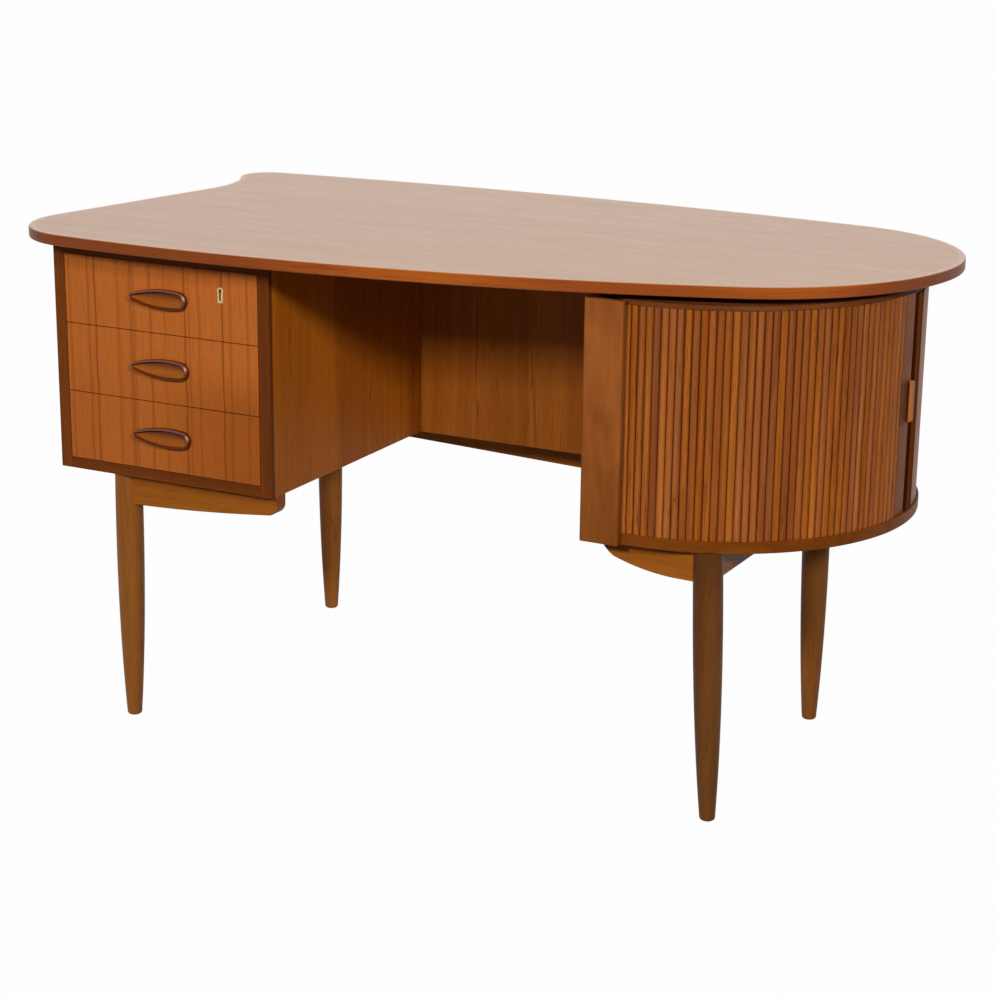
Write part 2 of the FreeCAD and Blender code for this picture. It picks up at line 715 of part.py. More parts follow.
def rail(start, end, depth):
    """A straight rail from leg to leg, under the carcasses."""
    way = end - start
    bar = box(0, way.Length, -rail_thickness / 2, rail_thickness / 2, carcass_bottom - depth, carcass_bottom)
    bar.rotate(Vector(0, 0, 0), UP, bearing(start, end))
    bar.translate(start)
    return bar


def long_bracket(place):
    """The bracket under the drawers: it thins from the left leg to a rounded end at the pedestal's right."""
    low = carcass_bottom - bracket_depth
    end_low = carcass_bottom - bracket_end_depth
    end_x = pedestal_width
    turn = end_x - bracket_end_round
    middle = (place.x + turn) / 2
    droop = (low + end_low) / 2 - (end_low - low) / 6
    bend = bracket_end_round * (1 - math.sqrt(0.5))
    edges = [
        Part.makeLine(Vector(place.x, 0, carcass_bottom), Vector(place.x, 0, low)),
        Part.Arc(Vector(place.x, 0, low), Vector(middle, 0, droop), Vector(turn, 0, end_low)).toShape(),
        Part.Arc(Vector(turn, 0, end_low), Vector(end_x - bend, 0, end_low + bend),
                 Vector(end_x, 0, end_low + bracket_end_round)).toShape(),
        Part.makeLine(Vector(end_x, 0, end_low + bracket_end_round), Vector(end_x, 0, carcass_bottom)),
        Part.makeLine(Vector(end_x, 0, carcass_bottom), Vector(place.x, 0, carcass_bottom)),
    ]
    solid = Part.Face(Part.Wire(edges)).extrude(Vector(0, rail_thickness, 0))
    solid.translate(Vector(0, place.y - rail_thickness / 2, 0))
    return solid


def wing_bracket(place):
    """The bracket under the round cabinet: a wing with a round toe and a long sweep up to it."""
    tip = Vector(place.x - wing_length, 0, carcass_bottom)
    toe = [tip + Vector(run, 0, -drop) for run, drop in wing_toe]
    sweep = [tip + Vector(run, 0, -drop) for run, drop in wing_sweep]
    heel = Vector(place.x, 0, carcass_bottom - wing_depth)
    corner = Vector(place.x, 0, carcass_bottom)
    edges = [
        Part.Arc(tip, *toe).toShape(),
        Part.Arc(toe[-1], *sweep).toShape(),
        Part.makeLine(sweep[-1], heel),
        Part.makeLine(heel, corner),
        Part.makeLine(corner, tip),
    ]
    solid = Part.Face(Part.Wire(edges)).extrude(Vector(0, rail_thickness, 0))
    solid.translate(Vector(0, place.y - rail_thickness / 2, 0))
    return solid


def make_base():
    """Four legs, a bracket at each front leg, a rail along each side and a stretcher at the rear."""
    legs = {name: leg(top, leg_feet[name]) for name, top in leg_tops.items()}
    for name, solid in legs.items():
        save("leg_" + name, solid)
    front_left = leg_tops["front_left"]
    rear_left = leg_tops["rear_left"]
    front_right = leg_tops["front_right"]
    rear_right = leg_tops["rear_right"]
    pieces = {
        "bracket_left": (long_bracket(front_left), ("front_left",)),
        "bracket_right": (wing_bracket(front_right), ("front_right",)),
        "side_rail_left": (rail(front_left, rear_left, side_rail_depth), ("front_left", "rear_left")),
        "side_rail_right": (rail(front_right, rear_right, side_rail_depth), ("front_right", "rear_right")),
        "stretcher": (rail(rear_left, rear_right, stretcher_depth), ("rear_left", "rear_right")),
    }
    placed = []
    for name, (solid, touched) in pieces.items():
        for other in [legs[which] for which in touched] + placed:
            solid = solid.cut(other)
        solid = largest(solid)
        placed.append(solid)
        save(name, solid)


os.makedirs("parts", exist_ok=True)
make_top()
make_battens()
make_pedestal()
make_bookcase()
for drawer in range(drawer_count):
    make_drawer(drawer)
make_runners()
make_lock()
make_cabinet()
make_curtain()
make_base()
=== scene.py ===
# %% [markdown]
# # A kidney-shaped teak desk
# The desk's solids come in as a fixed frame: every board, slat and leg already has its true size and place.
# This lesson dresses them. Most pieces are drawn again as smooth surfaces with eased edges, because light on
# a rounded edge is what tells the eye that it sees wood. Every piece then gets a finish made of shader nodes.

# %% Load the frame
import bpy
import math
import numpy as np
from mathutils import Matrix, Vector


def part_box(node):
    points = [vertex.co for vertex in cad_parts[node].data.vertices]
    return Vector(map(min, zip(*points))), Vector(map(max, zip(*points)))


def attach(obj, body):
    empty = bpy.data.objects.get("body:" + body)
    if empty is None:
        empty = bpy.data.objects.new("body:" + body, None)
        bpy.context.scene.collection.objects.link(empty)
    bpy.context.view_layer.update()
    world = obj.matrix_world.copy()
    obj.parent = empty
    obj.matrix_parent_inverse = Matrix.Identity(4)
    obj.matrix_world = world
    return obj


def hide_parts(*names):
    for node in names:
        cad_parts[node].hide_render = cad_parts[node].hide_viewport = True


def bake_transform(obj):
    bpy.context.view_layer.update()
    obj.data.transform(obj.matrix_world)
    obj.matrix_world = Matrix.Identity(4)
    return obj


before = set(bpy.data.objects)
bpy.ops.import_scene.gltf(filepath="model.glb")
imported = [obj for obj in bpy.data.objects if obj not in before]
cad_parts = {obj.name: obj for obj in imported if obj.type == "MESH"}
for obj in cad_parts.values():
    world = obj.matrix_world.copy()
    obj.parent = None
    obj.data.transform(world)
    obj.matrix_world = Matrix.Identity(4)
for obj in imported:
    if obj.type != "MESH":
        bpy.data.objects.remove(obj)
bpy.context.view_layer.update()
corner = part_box("pedestal_edging_left")[0]

# %% [markdown]
# ## Where things are
# The maker's plan of this desk starts at the front left corner of the drawer pedestal, in millimetres, with X
# to the right, Y to the back and Z up from the floor. Blender works in metres about the desk's middle. One
# small function carries whole arrays of points from the plan into the scene, so that the rest of the lesson
# can be written in plan sizes.


# %% From the plan to the scene
def plan(x, y, z):
    """Plan millimetres to scene metres: each is divided by 1000 and moved by the pedestal's corner."""
    parts = np.broadcast_arrays(np.asarray(x, float), np.asarray(y, float), np.asarray(z, float))
    return np.stack(parts, -1) / 1000 + np.array([corner.x, corner.y, 0.0])


def place(node):
    """A node's lowest and highest corners in plan millimetres."""
    low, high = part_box(node)
    shift = np.array([corner.x, corner.y, 0.0])
    return (np.array(low) - shift) * 1000, (np.array(high) - shift) * 1000


print("pedestal's corner in the scene:", [round(v, 4) for v in corner])

# %% [markdown]
# ## Camera
# The picture was taken from the desk's right front, a little above the top, with a long lens that was turned
# by under a degree. Straight edges of the pedestal and the legs gave the camera's place and its three angles.
# A camera can be aimed with a constraint, but a matrix of its own three axes also carries the small roll.

# %% Camera
focal_pixels, image_width, sensor_width = 2315.84, 994, 36
camera_place = 2034.376, -2610.582, 1288.99
yaw, pitch, roll = 0.469323, 0.285613, 0.0119411
level_right = np.array([math.cos(yaw), math.sin(yaw), 0])
level_ahead = np.array([-math.sin(yaw), math.cos(yaw), 0])
ahead = level_ahead * math.cos(pitch) - np.array([0, 0, math.sin(pitch)])
level_up = level_ahead * math.sin(pitch) + np.array([0, 0, math.cos(pitch)])
camera_right = math.cos(roll) * level_right + math.sin(roll) * level_up
camera_up = math.cos(roll) * level_up - math.sin(roll) * level_right
lens = bpy.data.cameras.new("camera")
lens.sensor_fit = "HORIZONTAL"
lens.sensor_width = sensor_width
lens.lens = sensor_width * focal_pixels / image_width
camera = bpy.data.objects.new("camera", lens)
bpy.context.scene.collection.objects.link(camera)
turn = np.eye(4)
turn[:3, :3] = np.stack([camera_right, camera_up, -ahead], 1)
turn[:3, 3] = plan(*camera_place)
camera.matrix_world = Matrix(turn)
bpy.context.scene.camera = camera
print("camera at", np.round(turn[:3, 3], 3), "with a lens of", round(lens.lens, 1), "mm")

# %% [markdown]
# ## Shader maths
# A finish is a small formula over the surface: noise that is stretched along the grain, thin lines, flecks.
# Node trees hide such formulas among sockets. Here one class wraps a socket, so that adding or multiplying
# two of them adds the Math node, and one method makes every other kind of node.


# %% Sockets that can be added and multiplied
class Wire:
    """A value that runs between shader nodes. Arithmetic on it adds Math nodes."""

    def __init__(self, tree, socket=None):
        self.tree = tree
        self.socket = socket

    def node(self, kind, settings, inputs, out=0):
        """Makes a node: its settings first, then the values or links of its sockets. Gives one output."""
        made = self.tree.nodes.new("ShaderNode" + kind)
        for name, value in settings.items():
            setattr(made, name, value)
        for name, value in inputs.items():
            if isinstance(value, Wire):
                self.tree.links.new(value.socket, made.inputs[name])
            else:
                made.inputs[name].default_value = value
        return Wire(self.tree, made.outputs[out])

    def maths(self, operation, first, second=0.0):
        """One Math node over two numbers."""
        return self.node("Math", {"operation": operation}, {0: first, 1: second})

    def __add__(self, other):
        return self.maths("ADD", self, other)

    def __sub__(self, other):
        return self.maths("SUBTRACT", self, other)

    def __rsub__(self, other):
        return self.maths("SUBTRACT", other, self)

    def __mul__(self, other):
        return self.maths("MULTIPLY", self, other)

    def __abs__(self):
        return self.maths("ABSOLUTE", self)

    __radd__ = __add__
    __rmul__ = __mul__

    def fade(self, start, end):
        """0 below start, 1 above end, and smooth between them; falling if start is above end."""
        settings = {"interpolation_type": "SMOOTHSTEP"}
        return self.node("MapRange", settings, {"Value": self, "From Min": start, "From Max": end})

    def blend(self, first, second):
        """The first colour where this is 0 and the second where it is 1."""
        return self.node("Mix", {"data_type": "RGBA"}, {0: self, 6: first, 7: second}, 2)

    def stretch(self, sizes):
        """A vector with each part multiplied by its own size."""
        return self.node("VectorMath", {"operation": "MULTIPLY"}, {0: self, 1: sizes})

    def moved(self, shift):
        """A vector moved by another."""
        return self.node("VectorMath", {"operation": "ADD"}, {0: self, 1: shift})

    def noise(self, scale, detail=2.0, distortion=0.0):
        """Soft random values, mostly from 0.3 to 0.7, over this vector."""
        inputs = {"Vector": self, "Scale": scale, "Detail": detail, "Distortion": distortion}
        return self.node("TexNoise", {}, inputs)

    def spot(self):
        """The place on the object, in millimetres."""
        return self.node("TexCoord", {}, {}, 3).stretch((1000, 1000, 1000))

    def part(self, index):
        """One part of a vector: 0 is across, 1 deep and 2 up."""
        return self.node("SeparateXYZ", {}, {0: self}, index)

    def marked(self, name):
        """The number that a piece keeps on its points under this name, and 0 where it keeps none."""
        return self.node("Attribute", {"attribute_name": name}, {}, 2)


print("shader maths:", len([name for name in vars(Wire) if not name.startswith("__")]), "named steps")


# %% Materials
def rgb(red, green, blue):
    """A colour that covers fully."""
    return (red, green, blue, 1.0)


def new_finish(name):
    """An empty material, a wire to build its nodes with, and its surface shader."""
    material = bpy.data.materials.new(name)
    material.use_nodes = True
    return material, Wire(material.node_tree), material.node_tree.nodes["Principled BSDF"]


def feed(shader, name, value):
    """Links a wire to a shader's socket, or sets the socket where the value is the same all over."""
    if isinstance(value, Wire):
        value.tree.links.new(value.socket, shader.inputs[name])
    else:
        shader.inputs[name].default_value = value


def emboss(shader, height, strength, distance):
    """Shades the surface as if a height raised it, by a distance in metres."""
    inputs = {"Strength": strength, "Distance": distance, "Height": height}
    feed(shader, "Normal", height.node("Bump", {}, inputs))


print("material helpers ready")

# %% [markdown]
# ## Teak
# Oiled teak has four things to see: broad bands of tone, thin dark growth lines, fine short pores that run
# with the grain, and a satin gloss. An image of wood would show its joins and would blur close up, so the
# grain is worked out from noise whose space is squeezed along the grain. Where that noise passes through one
# half it draws flowing lines, as a saw cut draws the growth rings.

# %% Grain and oil
SQUEEZE = {"x": (0.03, 1, 1), "y": (1, 0.03, 1), "z": (1, 1, 0.03)}


def grain_space(wire, along, seed):
    """The place in millimetres, moved by a seed and squeezed along the grain."""
    return wire.spot().moved((seed, seed * 1.7, seed * 2.3)).stretch(SQUEEZE[along])


def wood_layers(grain, figure):
    """Four masks over squeezed space: broad bands, thin lines at a noise's middle, ripple and short pores."""
    band = grain.noise(0.022 * figure, 3.0, 0.6).fade(0.34, 0.66)
    vein = abs(grain.noise(0.075 * figure, 2.0, 0.8) - 0.5).fade(0.03, 0.0)
    vein = vein * grain.noise(0.05, 1.0).fade(0.42, 0.62)
    ripple = grain.noise(0.35, 2.0).fade(0.4, 0.7)
    pore = grain.noise(1.1, 1.0).fade(0.58, 0.7)
    return band, vein, ripple, pore


def oil(shader, colour, vein, ripple, pore, gloss, shine, relief=1.0):
    """Satin oil over a colour: pores and ripple make it duller, and pores and lines lie a little deeper."""
    feed(shader, "Base Color", colour)
    feed(shader, "Roughness", gloss + pore * 0.12 + ripple * 0.08)
    feed(shader, "Specular IOR Level", shine)
    height = 1.0 - pore * 0.8 - vein * 0.3 - ripple * 0.15
    emboss(shader, height, 0.4, 0.0001 * relief)


def teak(name, pale, deep, line, along="z", lines=0.5, pores=0.35, gloss=0.45, shine=0.2, coat=0.0, seed=0.0):
    """Bands mix a pale and a deep brown. Thin lines, pores and painted shade take a third, darkest one."""
    material, wire, shader = new_finish(name)
    band, vein, ripple, pore = wood_layers(grain_space(wire, along, seed), 1.0)
    colour = (ripple * 0.4).blend(band.blend(pale, deep), deep)
    colour = (vein * lines).blend(colour, line)
    # The groove number read here is painted shade: at the rear stile's edge, beside the curtain's pull and at
    # a leg's head.
    painted_shade = wire.marked("groove")
    colour = (pore * pores + painted_shade * 0.9).blend(colour, line)
    oil(shader, colour, vein, ripple, pore, gloss, shine)
    feed(shader, "Coat Weight", coat)
    feed(shader, "Coat Roughness", 0.3)
    return material


print("grain directions:", ", ".join(SQUEEZE))

# %% [markdown]
# ## One wood, many boards
# No two boards of an old desk have aged alike. The top was polished and has paled in the light, the edging
# was stained dark, and the sides kept a warm brown. Only the top is glossy: the upright boards have a thin,
# dull film of oil, so their shine is low. Each finish is the same formula with its own three browns, a seed
# that moves the pattern, and the way that the board's grain runs. The cabinet's ceiling board is dark as
# painted shade, and each leg's browns are scaled up or down as painted light and shade.

# %% Teak finishes
top_veneer = teak("top_veneer", rgb(0.49, 0.222, 0.072), rgb(0.44, 0.192, 0.060), rgb(0.32, 0.130, 0.044),
                  "x", lines=0.2, pores=0.2, gloss=0.3, shine=0.75, coat=0.3)
carcass_browns = rgb(0.40, 0.118, 0.013), rgb(0.295, 0.078, 0.008), rgb(0.115, 0.027, 0.004)
carcass_veneer = teak("carcass_veneer", *carcass_browns, lines=0.55, shine=0.12)
side_veneer = teak("side_veneer", rgb(0.44, 0.122, 0.008), rgb(0.33, 0.082, 0.005), rgb(0.12, 0.028, 0.003),
                   lines=0.55, shine=0.10)
edging_browns = rgb(0.17, 0.043, 0.006), rgb(0.115, 0.027, 0.004), rgb(0.05, 0.012, 0.002)
dark_teak = teak("dark_teak", *edging_browns, lines=0.4, shine=0.06, seed=40)
dark_level = teak("dark_level", *edging_browns, "x", lines=0.4, shine=0.06, seed=40)
# The ceiling board's browns are dark as painted shade, for the shadow under the top.
shaded_ceiling_browns = rgb(0.18, 0.053, 0.014), rgb(0.125, 0.035, 0.009), rgb(0.05, 0.013, 0.003)
shaded_ceiling_teak = teak("shaded_ceiling_teak", *shaded_ceiling_browns, "x", lines=0.4, shine=0.04, seed=44)
rear_teak = teak("rear_teak", rgb(0.24, 0.068, 0.018), rgb(0.18, 0.048, 0.012), rgb(0.05, 0.009, 0.001),
                 shine=0.0)
wall_veneer = teak("wall_veneer", rgb(0.34, 0.130, 0.060), rgb(0.26, 0.094, 0.040), rgb(0.10, 0.028, 0.008),
                   shine=0.18)
rail_teak = teak("rail_teak", rgb(0.335, 0.102, 0.009), rgb(0.245, 0.068, 0.006), rgb(0.12, 0.030, 0.003),
                 "x", lines=0.4, pores=0.4, shine=0.10, seed=70)
side_rail_browns = rgb(0.26, 0.085, 0.012), rgb(0.19, 0.057, 0.008), rgb(0.11, 0.028, 0.005)
side_rail_teak = teak("side_rail_teak", *side_rail_browns, "y", lines=0.4, pores=0.4, shine=0.12, seed=75)
rim_teak = teak("rim_teak", rgb(0.21, 0.054, 0.004), rgb(0.145, 0.035, 0.002), rgb(0.08, 0.018, 0.002),
                "x", lines=0.4, pores=0.4, shine=0.10, seed=78)
beech = teak("beech", rgb(0.50, 0.33, 0.18), rgb(0.42, 0.26, 0.13), rgb(0.30, 0.17, 0.08), "y",
             lines=0.15, seed=12)
leg_teak = {}
leg_browns = np.array([(0.27, 0.093, 0.017), (0.19, 0.060, 0.010), (0.09, 0.026, 0.005)])
# Each leg's browns are scaled by how much light falls on it: painted light and shade, brightest at the rear
# left and darkest at the front right.
painted_leg_light = {"front_left": 1.2, "front_right": 0.53, "rear_left": 1.8, "rear_right": 1.08}
for number, (name, light) in enumerate(painted_leg_light.items()):
    browns = [rgb(*brown) for brown in (leg_browns * light).tolist()]
    leg_teak[name] = teak("leg_teak_" + name, *browns, lines=0.5, pores=0.4, shine=0.12,
                          seed=90 + 17 * number)
print("teak finishes:", len(bpy.data.materials))

# %% [markdown]
# ## Building surfaces
# Every new piece is a stack of loops: an outline that is drawn in a little where an edge is eased. Two loops
# beside each other make a ring of quads, and the first and last loop close the piece. A bevel tool could
# round the edges of a plain block, but loops give the same rounding on any outline, and the whole piece is
# one array of numbers.


# %% Outlines
def soften(corners, radius, steps=4):
    """Each corner of an outline becomes a parabola between points one radius before and after it."""
    corners = np.asarray(corners, float)
    radius = np.broadcast_to(radius, len(corners))
    before, after = np.roll(corners, 1, 0) - corners, np.roll(corners, -1, 0) - corners
    before = before * (radius / np.linalg.norm(before, axis=1))[:, None]
    after = after * (radius / np.linalg.norm(after, axis=1))[:, None]
    s = np.linspace(0, 1, steps + 1)[None, :, None]
    curve = corners[:, None] + (1 - s) ** 2 * before[:, None] + s ** 2 * after[:, None]
    return curve.reshape(-1, 2)


def drawn_in(outline, distance):
    """An anticlockwise outline moved inwards: each point goes along the sum of its two edges' normals."""
    edge = np.roll(outline, -1, 0) - outline
    normal = np.stack([-edge[:, 1], edge[:, 0]], 1) / np.linalg.norm(edge, axis=1)[:, None]
    other = np.roll(normal, 1, 0)
    reach = np.maximum(1 + (normal * other).sum(1), 0.5)
    return outline + (normal + other) / reach[:, None] * distance


square = np.array([(0, 0), (10, 0), (10, 10), (0, 10)], float)
print("a square of 10 mm, drawn in by 1 mm:", np.ptp(drawn_in(square, 1.0), 0), "mm")


# %% Stacks of loops
def stack(outline, low, high, ease, top_ease=None, steps=3):
    """Loops of an outline from low to high. An eased end is drawn in and rounds out over a quarter circle."""
    angle = np.linspace(0, np.pi / 2, steps + 1)
    rounds = [(e * (1 - np.sin(angle)), e * (1 - np.cos(angle))) if e else (np.zeros(1), np.zeros(1))
              for e in (ease, ease if top_ease is None else top_ease)]
    insets = np.concatenate([rounds[0][0], rounds[1][0][::-1]])
    levels = np.concatenate([low + rounds[0][1], high - rounds[1][1][::-1]])
    flat = np.stack([drawn_in(outline, inset) for inset in insets])
    return np.concatenate([flat, np.broadcast_to(levels[:, None, None], flat.shape[:2] + (1,))], 2)


def upright(loops):
    """A stack that rises along Z."""
    return plan(loops[..., 0], loops[..., 1], loops[..., 2])


def facing(loops):
    """A stack whose outline lies in X and Z and whose levels run along Y."""
    return plan(loops[..., 0], loops[..., 2], loops[..., 1])


def sideways(loops):
    """A stack whose outline lies in Y and Z and whose levels run along X."""
    return plan(loops[..., 2], loops[..., 0], loops[..., 1])


def board(low, high, ease):
    """A plank between two corners: a softened rectangle raised along the plank's thinnest side."""
    axis = int(np.argmin(high - low))
    a, b = [i for i in range(3) if i != axis]
    corners = [(low[a], low[b]), (high[a], low[b]), (high[a], high[b]), (low[a], high[b])]
    return (sideways, facing, upright)[axis](stack(soften(corners, ease), low[axis], high[axis], ease))


print("an eased board has", len(stack(square, 0, 10, 1.0)), "loops")


# %% Shells and pieces
def ring(columns, rows, closed):
    """Quads between neighbouring loops. Closed joins the last loop to the first as well."""
    r = np.arange(rows if closed else rows - 1)[:, None]
    c = np.arange(columns)[None]
    right, above = (c + 1) % columns, (r + 1) % rows
    quads = [r * columns + c, r * columns + right, above * columns + right, above * columns + c]
    return np.stack(np.broadcast_arrays(*quads), -1).reshape(-1, 4)


def inside_out(points, quads):
    """True if the sum over the faces' triangles of a . (b x c), six times the volume, is negative."""
    a, b, c, d = (points[quads[:, i]] for i in range(4))
    return (a * (np.cross(b, c) + np.cross(c, d))).sum() < 0


def shell(loops, closed=False):
    """Points and outward faces of a stack of loops. Its ends are flat faces, or it closes on itself."""
    rows, columns = loops.shape[:2]
    points = loops.reshape(-1, 3)
    quads = ring(columns, rows, closed)
    faces, ends = quads.tolist(), []
    if not closed:
        ends = [np.arange(columns)[::-1], np.arange(columns) + (rows - 1) * columns]
        faces += [end.tolist() for end in ends]
    fans = [np.stack([np.full(columns - 2, e[0]), e[1:-1], e[2:], e[2:]], 1) for e in ends]
    if inside_out(points - points.mean(0), np.concatenate([quads] + fans)):
        faces = [face[::-1] for face in faces]
    return points, faces


def piece(name, shells, finish, body, nodes, even=True):
    """One object from several shells: smooth with crisp corners, with its finish, body and CAD nodes."""
    starts = np.cumsum([0] + [len(points) for points, faces in shells]).tolist()
    points = np.concatenate([points for points, faces in shells])
    faces = [[i + start for i in face] for start, (p, f) in zip(starts, shells) for face in f]
    mesh = bpy.data.meshes.new(name)
    mesh.from_pydata(points.tolist(), [], faces)
    mesh.polygons.foreach_set("use_smooth", np.ones(len(faces), bool))
    mesh.set_sharp_from_angle(angle=math.radians(40))
    mesh.materials.append(finish)
    made = bpy.data.objects.new(name, mesh)
    bpy.context.scene.collection.objects.link(made)
    if even:
        made.modifiers.new("even_shading", "WEIGHTED_NORMAL").keep_sharp = True
    if body:
        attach(made, body)
    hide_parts(*nodes)
    return made


def mark_points(made, name, values):
    """A number for each point of a piece, which its finish can read."""
    values = np.broadcast_to(values, len(made.data.vertices)) if np.ndim(values) < 2 else np.ravel(values)
    made.data.attributes.new(name, "FLOAT", "POINT").data.foreach_set("value", values.astype(np.float32))


print("a ring of 4 loops with 12 points each has", len(ring(12, 4, True)), "quads")

# %% [markdown]
# ## The kidney top
# The top's edge is seven arcs that touch each other and one straight stretch: a bowed front, a broad
# shoulder, a round right end, a nearly straight back, a small tip, a shallow scoop and the front left lobe.
# An arc that two others touch from inside has its centre where two circles cross, so the outline follows from
# a few radii. Drawn in by a distance, each arc only changes its radius, and that gives the loops for the
# lipping's rounded profile.

# %% Arcs that touch
lobe, lobe_radius = np.array([60.0, 68.0]), 122.0
end, end_radius = np.array([967.5, 367.0]), 238.5
shoulder_radius, shoulder_turn = 313.0, math.radians(-4.0)
tip, tip_radius = np.array([3.1, 561.7]), 44.5
front_bow, back_bow = 2153.0, 4407.0
scoop_radius, scoop_lean = 180.0, math.radians(9.52)


def enclosing(first, first_radius, second, second_radius, radius):
    """The centre of a large circle that two smaller ones touch from inside, left of the way between them."""
    span = second - first
    length = np.linalg.norm(span)
    reach, other = radius - first_radius, radius - second_radius
    along = (length ** 2 + reach ** 2 - other ** 2) / (2 * length)
    across = math.sqrt(reach ** 2 - along ** 2)
    way = span / length
    return first + way * along + np.array([-way[1], way[0]]) * across


def bearing(start, finish):
    """The angle of the way from one point to another."""
    return math.atan2(finish[1] - start[1], finish[0] - start[0])


def arc(centre, radius, start, finish, count, last=False):
    """Points on a circle from one angle to another."""
    angle = np.linspace(start, finish, count, endpoint=last)
    return centre + radius * np.stack([np.cos(angle), np.sin(angle)], 1)


shoulder_way = np.array([math.cos(shoulder_turn), math.sin(shoulder_turn)])
shoulder = end + (end_radius - shoulder_radius) * shoulder_way
front_centre = enclosing(lobe, lobe_radius, shoulder, shoulder_radius, front_bow)
back_centre = enclosing(end, end_radius, tip, tip_radius, back_bow)
lean = np.array([math.sin(scoop_lean), math.cos(scoop_lean)])
outward = np.array([-lean[1], lean[0]])
scoop_base = lobe + outward * (lobe_radius + scoop_radius)
to_tip = tip - scoop_base
scoop_slide = to_tip @ lean - math.sqrt((scoop_radius + tip_radius) ** 2 - (to_tip @ outward) ** 2)
scoop = scoop_base + lean * scoop_slide
print("centres of the front's and the back's bows:", np.round(front_centre), np.round(back_centre))

# %% The top's outline
skin = 0.1


def kidney(inset):
    """The top's edge, anticlockwise from the right of the back. The inset, and a skin, change each radius."""
    inset = inset + skin
    front_start, front_end = bearing(front_centre, lobe), bearing(front_centre, shoulder)
    back_start, back_end = bearing(back_centre, end), bearing(back_centre, tip)
    tip_end = bearing(tip, scoop) % (2 * math.pi)
    straight = bearing((0, 0), outward)
    return np.concatenate([
        arc(back_centre, back_bow - inset, back_start, back_end, 60),
        arc(tip, tip_radius - inset, back_end, tip_end, 24),
        arc(scoop, scoop_radius + inset, bearing(scoop, tip), straight - math.pi, 40, True),
        arc(lobe, lobe_radius - inset, straight, front_start % (2 * math.pi), 70),
        arc(front_centre, front_bow - inset, front_start, front_end, 70),
        arc(shoulder, shoulder_radius - inset, front_end, shoulder_turn, 90),
        arc(end, end_radius - inset, shoulder_turn, back_start, 90),
    ])


print("kidney outline of", len(kidney(0)), "points,", np.round(np.ptp(kidney(0), 0), 1), "mm")

# %% [markdown]
# ## Lipping
# A solid strip is glued round the veneered panel, and its grain follows the edge round every bend. So its
# finish reads a map of the strip's own length and girth, not a place in the room. The strip is darker at the
# left, at the middle of the right half and at the right end. Its upper side was polished together with the
# panel, so a number on the surface lays the same clear coat there.


# %% Lipping finish and map
def strip_finish(name, pale, deep, line, polish):
    """Teak whose grain runs along the first direction of the piece's own map."""
    material, wire, shader = new_finish(name)
    spot = wire.node("UVMap", {"uv_map": "strip"}, {}).stretch((1000, 1000, 1000)).stretch(SQUEEZE["x"])
    band, vein, ripple, pore = wood_layers(spot, 1.6)
    colour = (ripple * 0.5).blend(band.blend(pale, deep), deep)
    colour = (vein * 0.5).blend(colour, line)
    colour = (pore * 0.35).blend(colour, line)
    across = wire.spot().part(0) - corner.x * 1000
    darker = across.fade(600, 300) * 0.66 + abs(across - 860.0).fade(230, 60) * 0.42
    darker = darker + across.fade(1100, 1170) * 0.5
    polished = wire.marked("upper")
    colour = polished.blend(darker.blend(colour, line), polish)
    oil(shader, colour, vein, ripple, pore, gloss=0.42, shine=0.22)
    feed(shader, "Coat Weight", polished)
    feed(shader, "Coat Roughness", 0.3)
    return material


def strip_map(mesh, loops):
    """The strip's map in metres: path length along a loop, and girth from loop to loop. Seams don't jump."""
    rows, columns = loops.shape[:2]
    path = np.linalg.norm(np.roll(loops[0], -1, 0) - loops[0], axis=1).cumsum()
    girth = np.linalg.norm(np.roll(loops[:, 0], -1, 0) - loops[:, 0], axis=1).cumsum()
    index = np.empty(len(mesh.loops), np.int32)
    mesh.loops.foreach_get("vertex_index", index)
    spots = []
    for place_in, lengths in ((index % columns, path), (index // columns, girth)):
        face = place_in.reshape(-1, 4)
        jump = (np.ptp(face, axis=1) > 1)[:, None] & (face == 0)
        spots.append(np.where(jump, lengths[-1], np.insert(lengths, 0, 0)[face]).ravel())
    layer = mesh.uv_layers.new(name="strip")
    layer.data.foreach_set("uv", np.stack(spots, 1).astype(np.float32).ravel())


lipping_teak = strip_finish("lipping_teak", rgb(0.37, 0.086, 0.007), rgb(0.26, 0.055, 0.005),
                            rgb(0.13, 0.022, 0.003), polish=rgb(0.46, 0.20, 0.065))
print("lipping finish of", len(lipping_teak.node_tree.nodes), "nodes")

# %% Panel and lipping
desk_height, top_thickness = 727.0, 16.0
underside = desk_height - top_thickness
lip_width, lip_shelf, lip_round, glue_line, panel_ease = 10.0, 6, 2.5, 0.05, 0.25
panel = upright(stack(kidney(lip_width + glue_line), underside, desk_height, panel_ease))
piece("desk_top", [shell(panel)], top_veneer, "frame", ["desktop_panel"])
quarter = np.linspace(0, np.pi / 2, 6)
in_round, up_round = lip_round * (1 - np.sin(quarter)), lip_round * (1 - np.cos(quarter))
lip_in = np.concatenate([[lip_width, lip_shelf], in_round, in_round[::-1], [lip_shelf, lip_width]])
upper_half = np.concatenate([[desk_height] * 2, desk_height - up_round])
lower_half = np.concatenate([underside + up_round[::-1], [underside] * 2])
lip_up = np.concatenate([upper_half, lower_half])
lip_plan = np.stack([kidney(inset) for inset in lip_in])
lip = plan(lip_plan[..., 0], lip_plan[..., 1], lip_up[:, None])
lipping = piece("desk_lipping", [shell(lip, True)], lipping_teak, "frame",
                ["desktop_lipping"])
strip_map(lipping.data, lip)
polished_loops = 5
mark_points(lipping, "upper", np.repeat(np.arange(len(lip_up)) < polished_loops, lip.shape[1]))
print("top:", len(lipping.data.polygons), "faces on the lipping")

# %% [markdown]
# ## Boards
# Sides, bottoms, shelves, edging and panels are plain planks on the real desk, sawn square with their edges
# taken off by sandpaper. Each takes its size from the frame, so one loop makes them all. The front edges of
# the pedestal are lipped with darker wood, which frames the drawers.

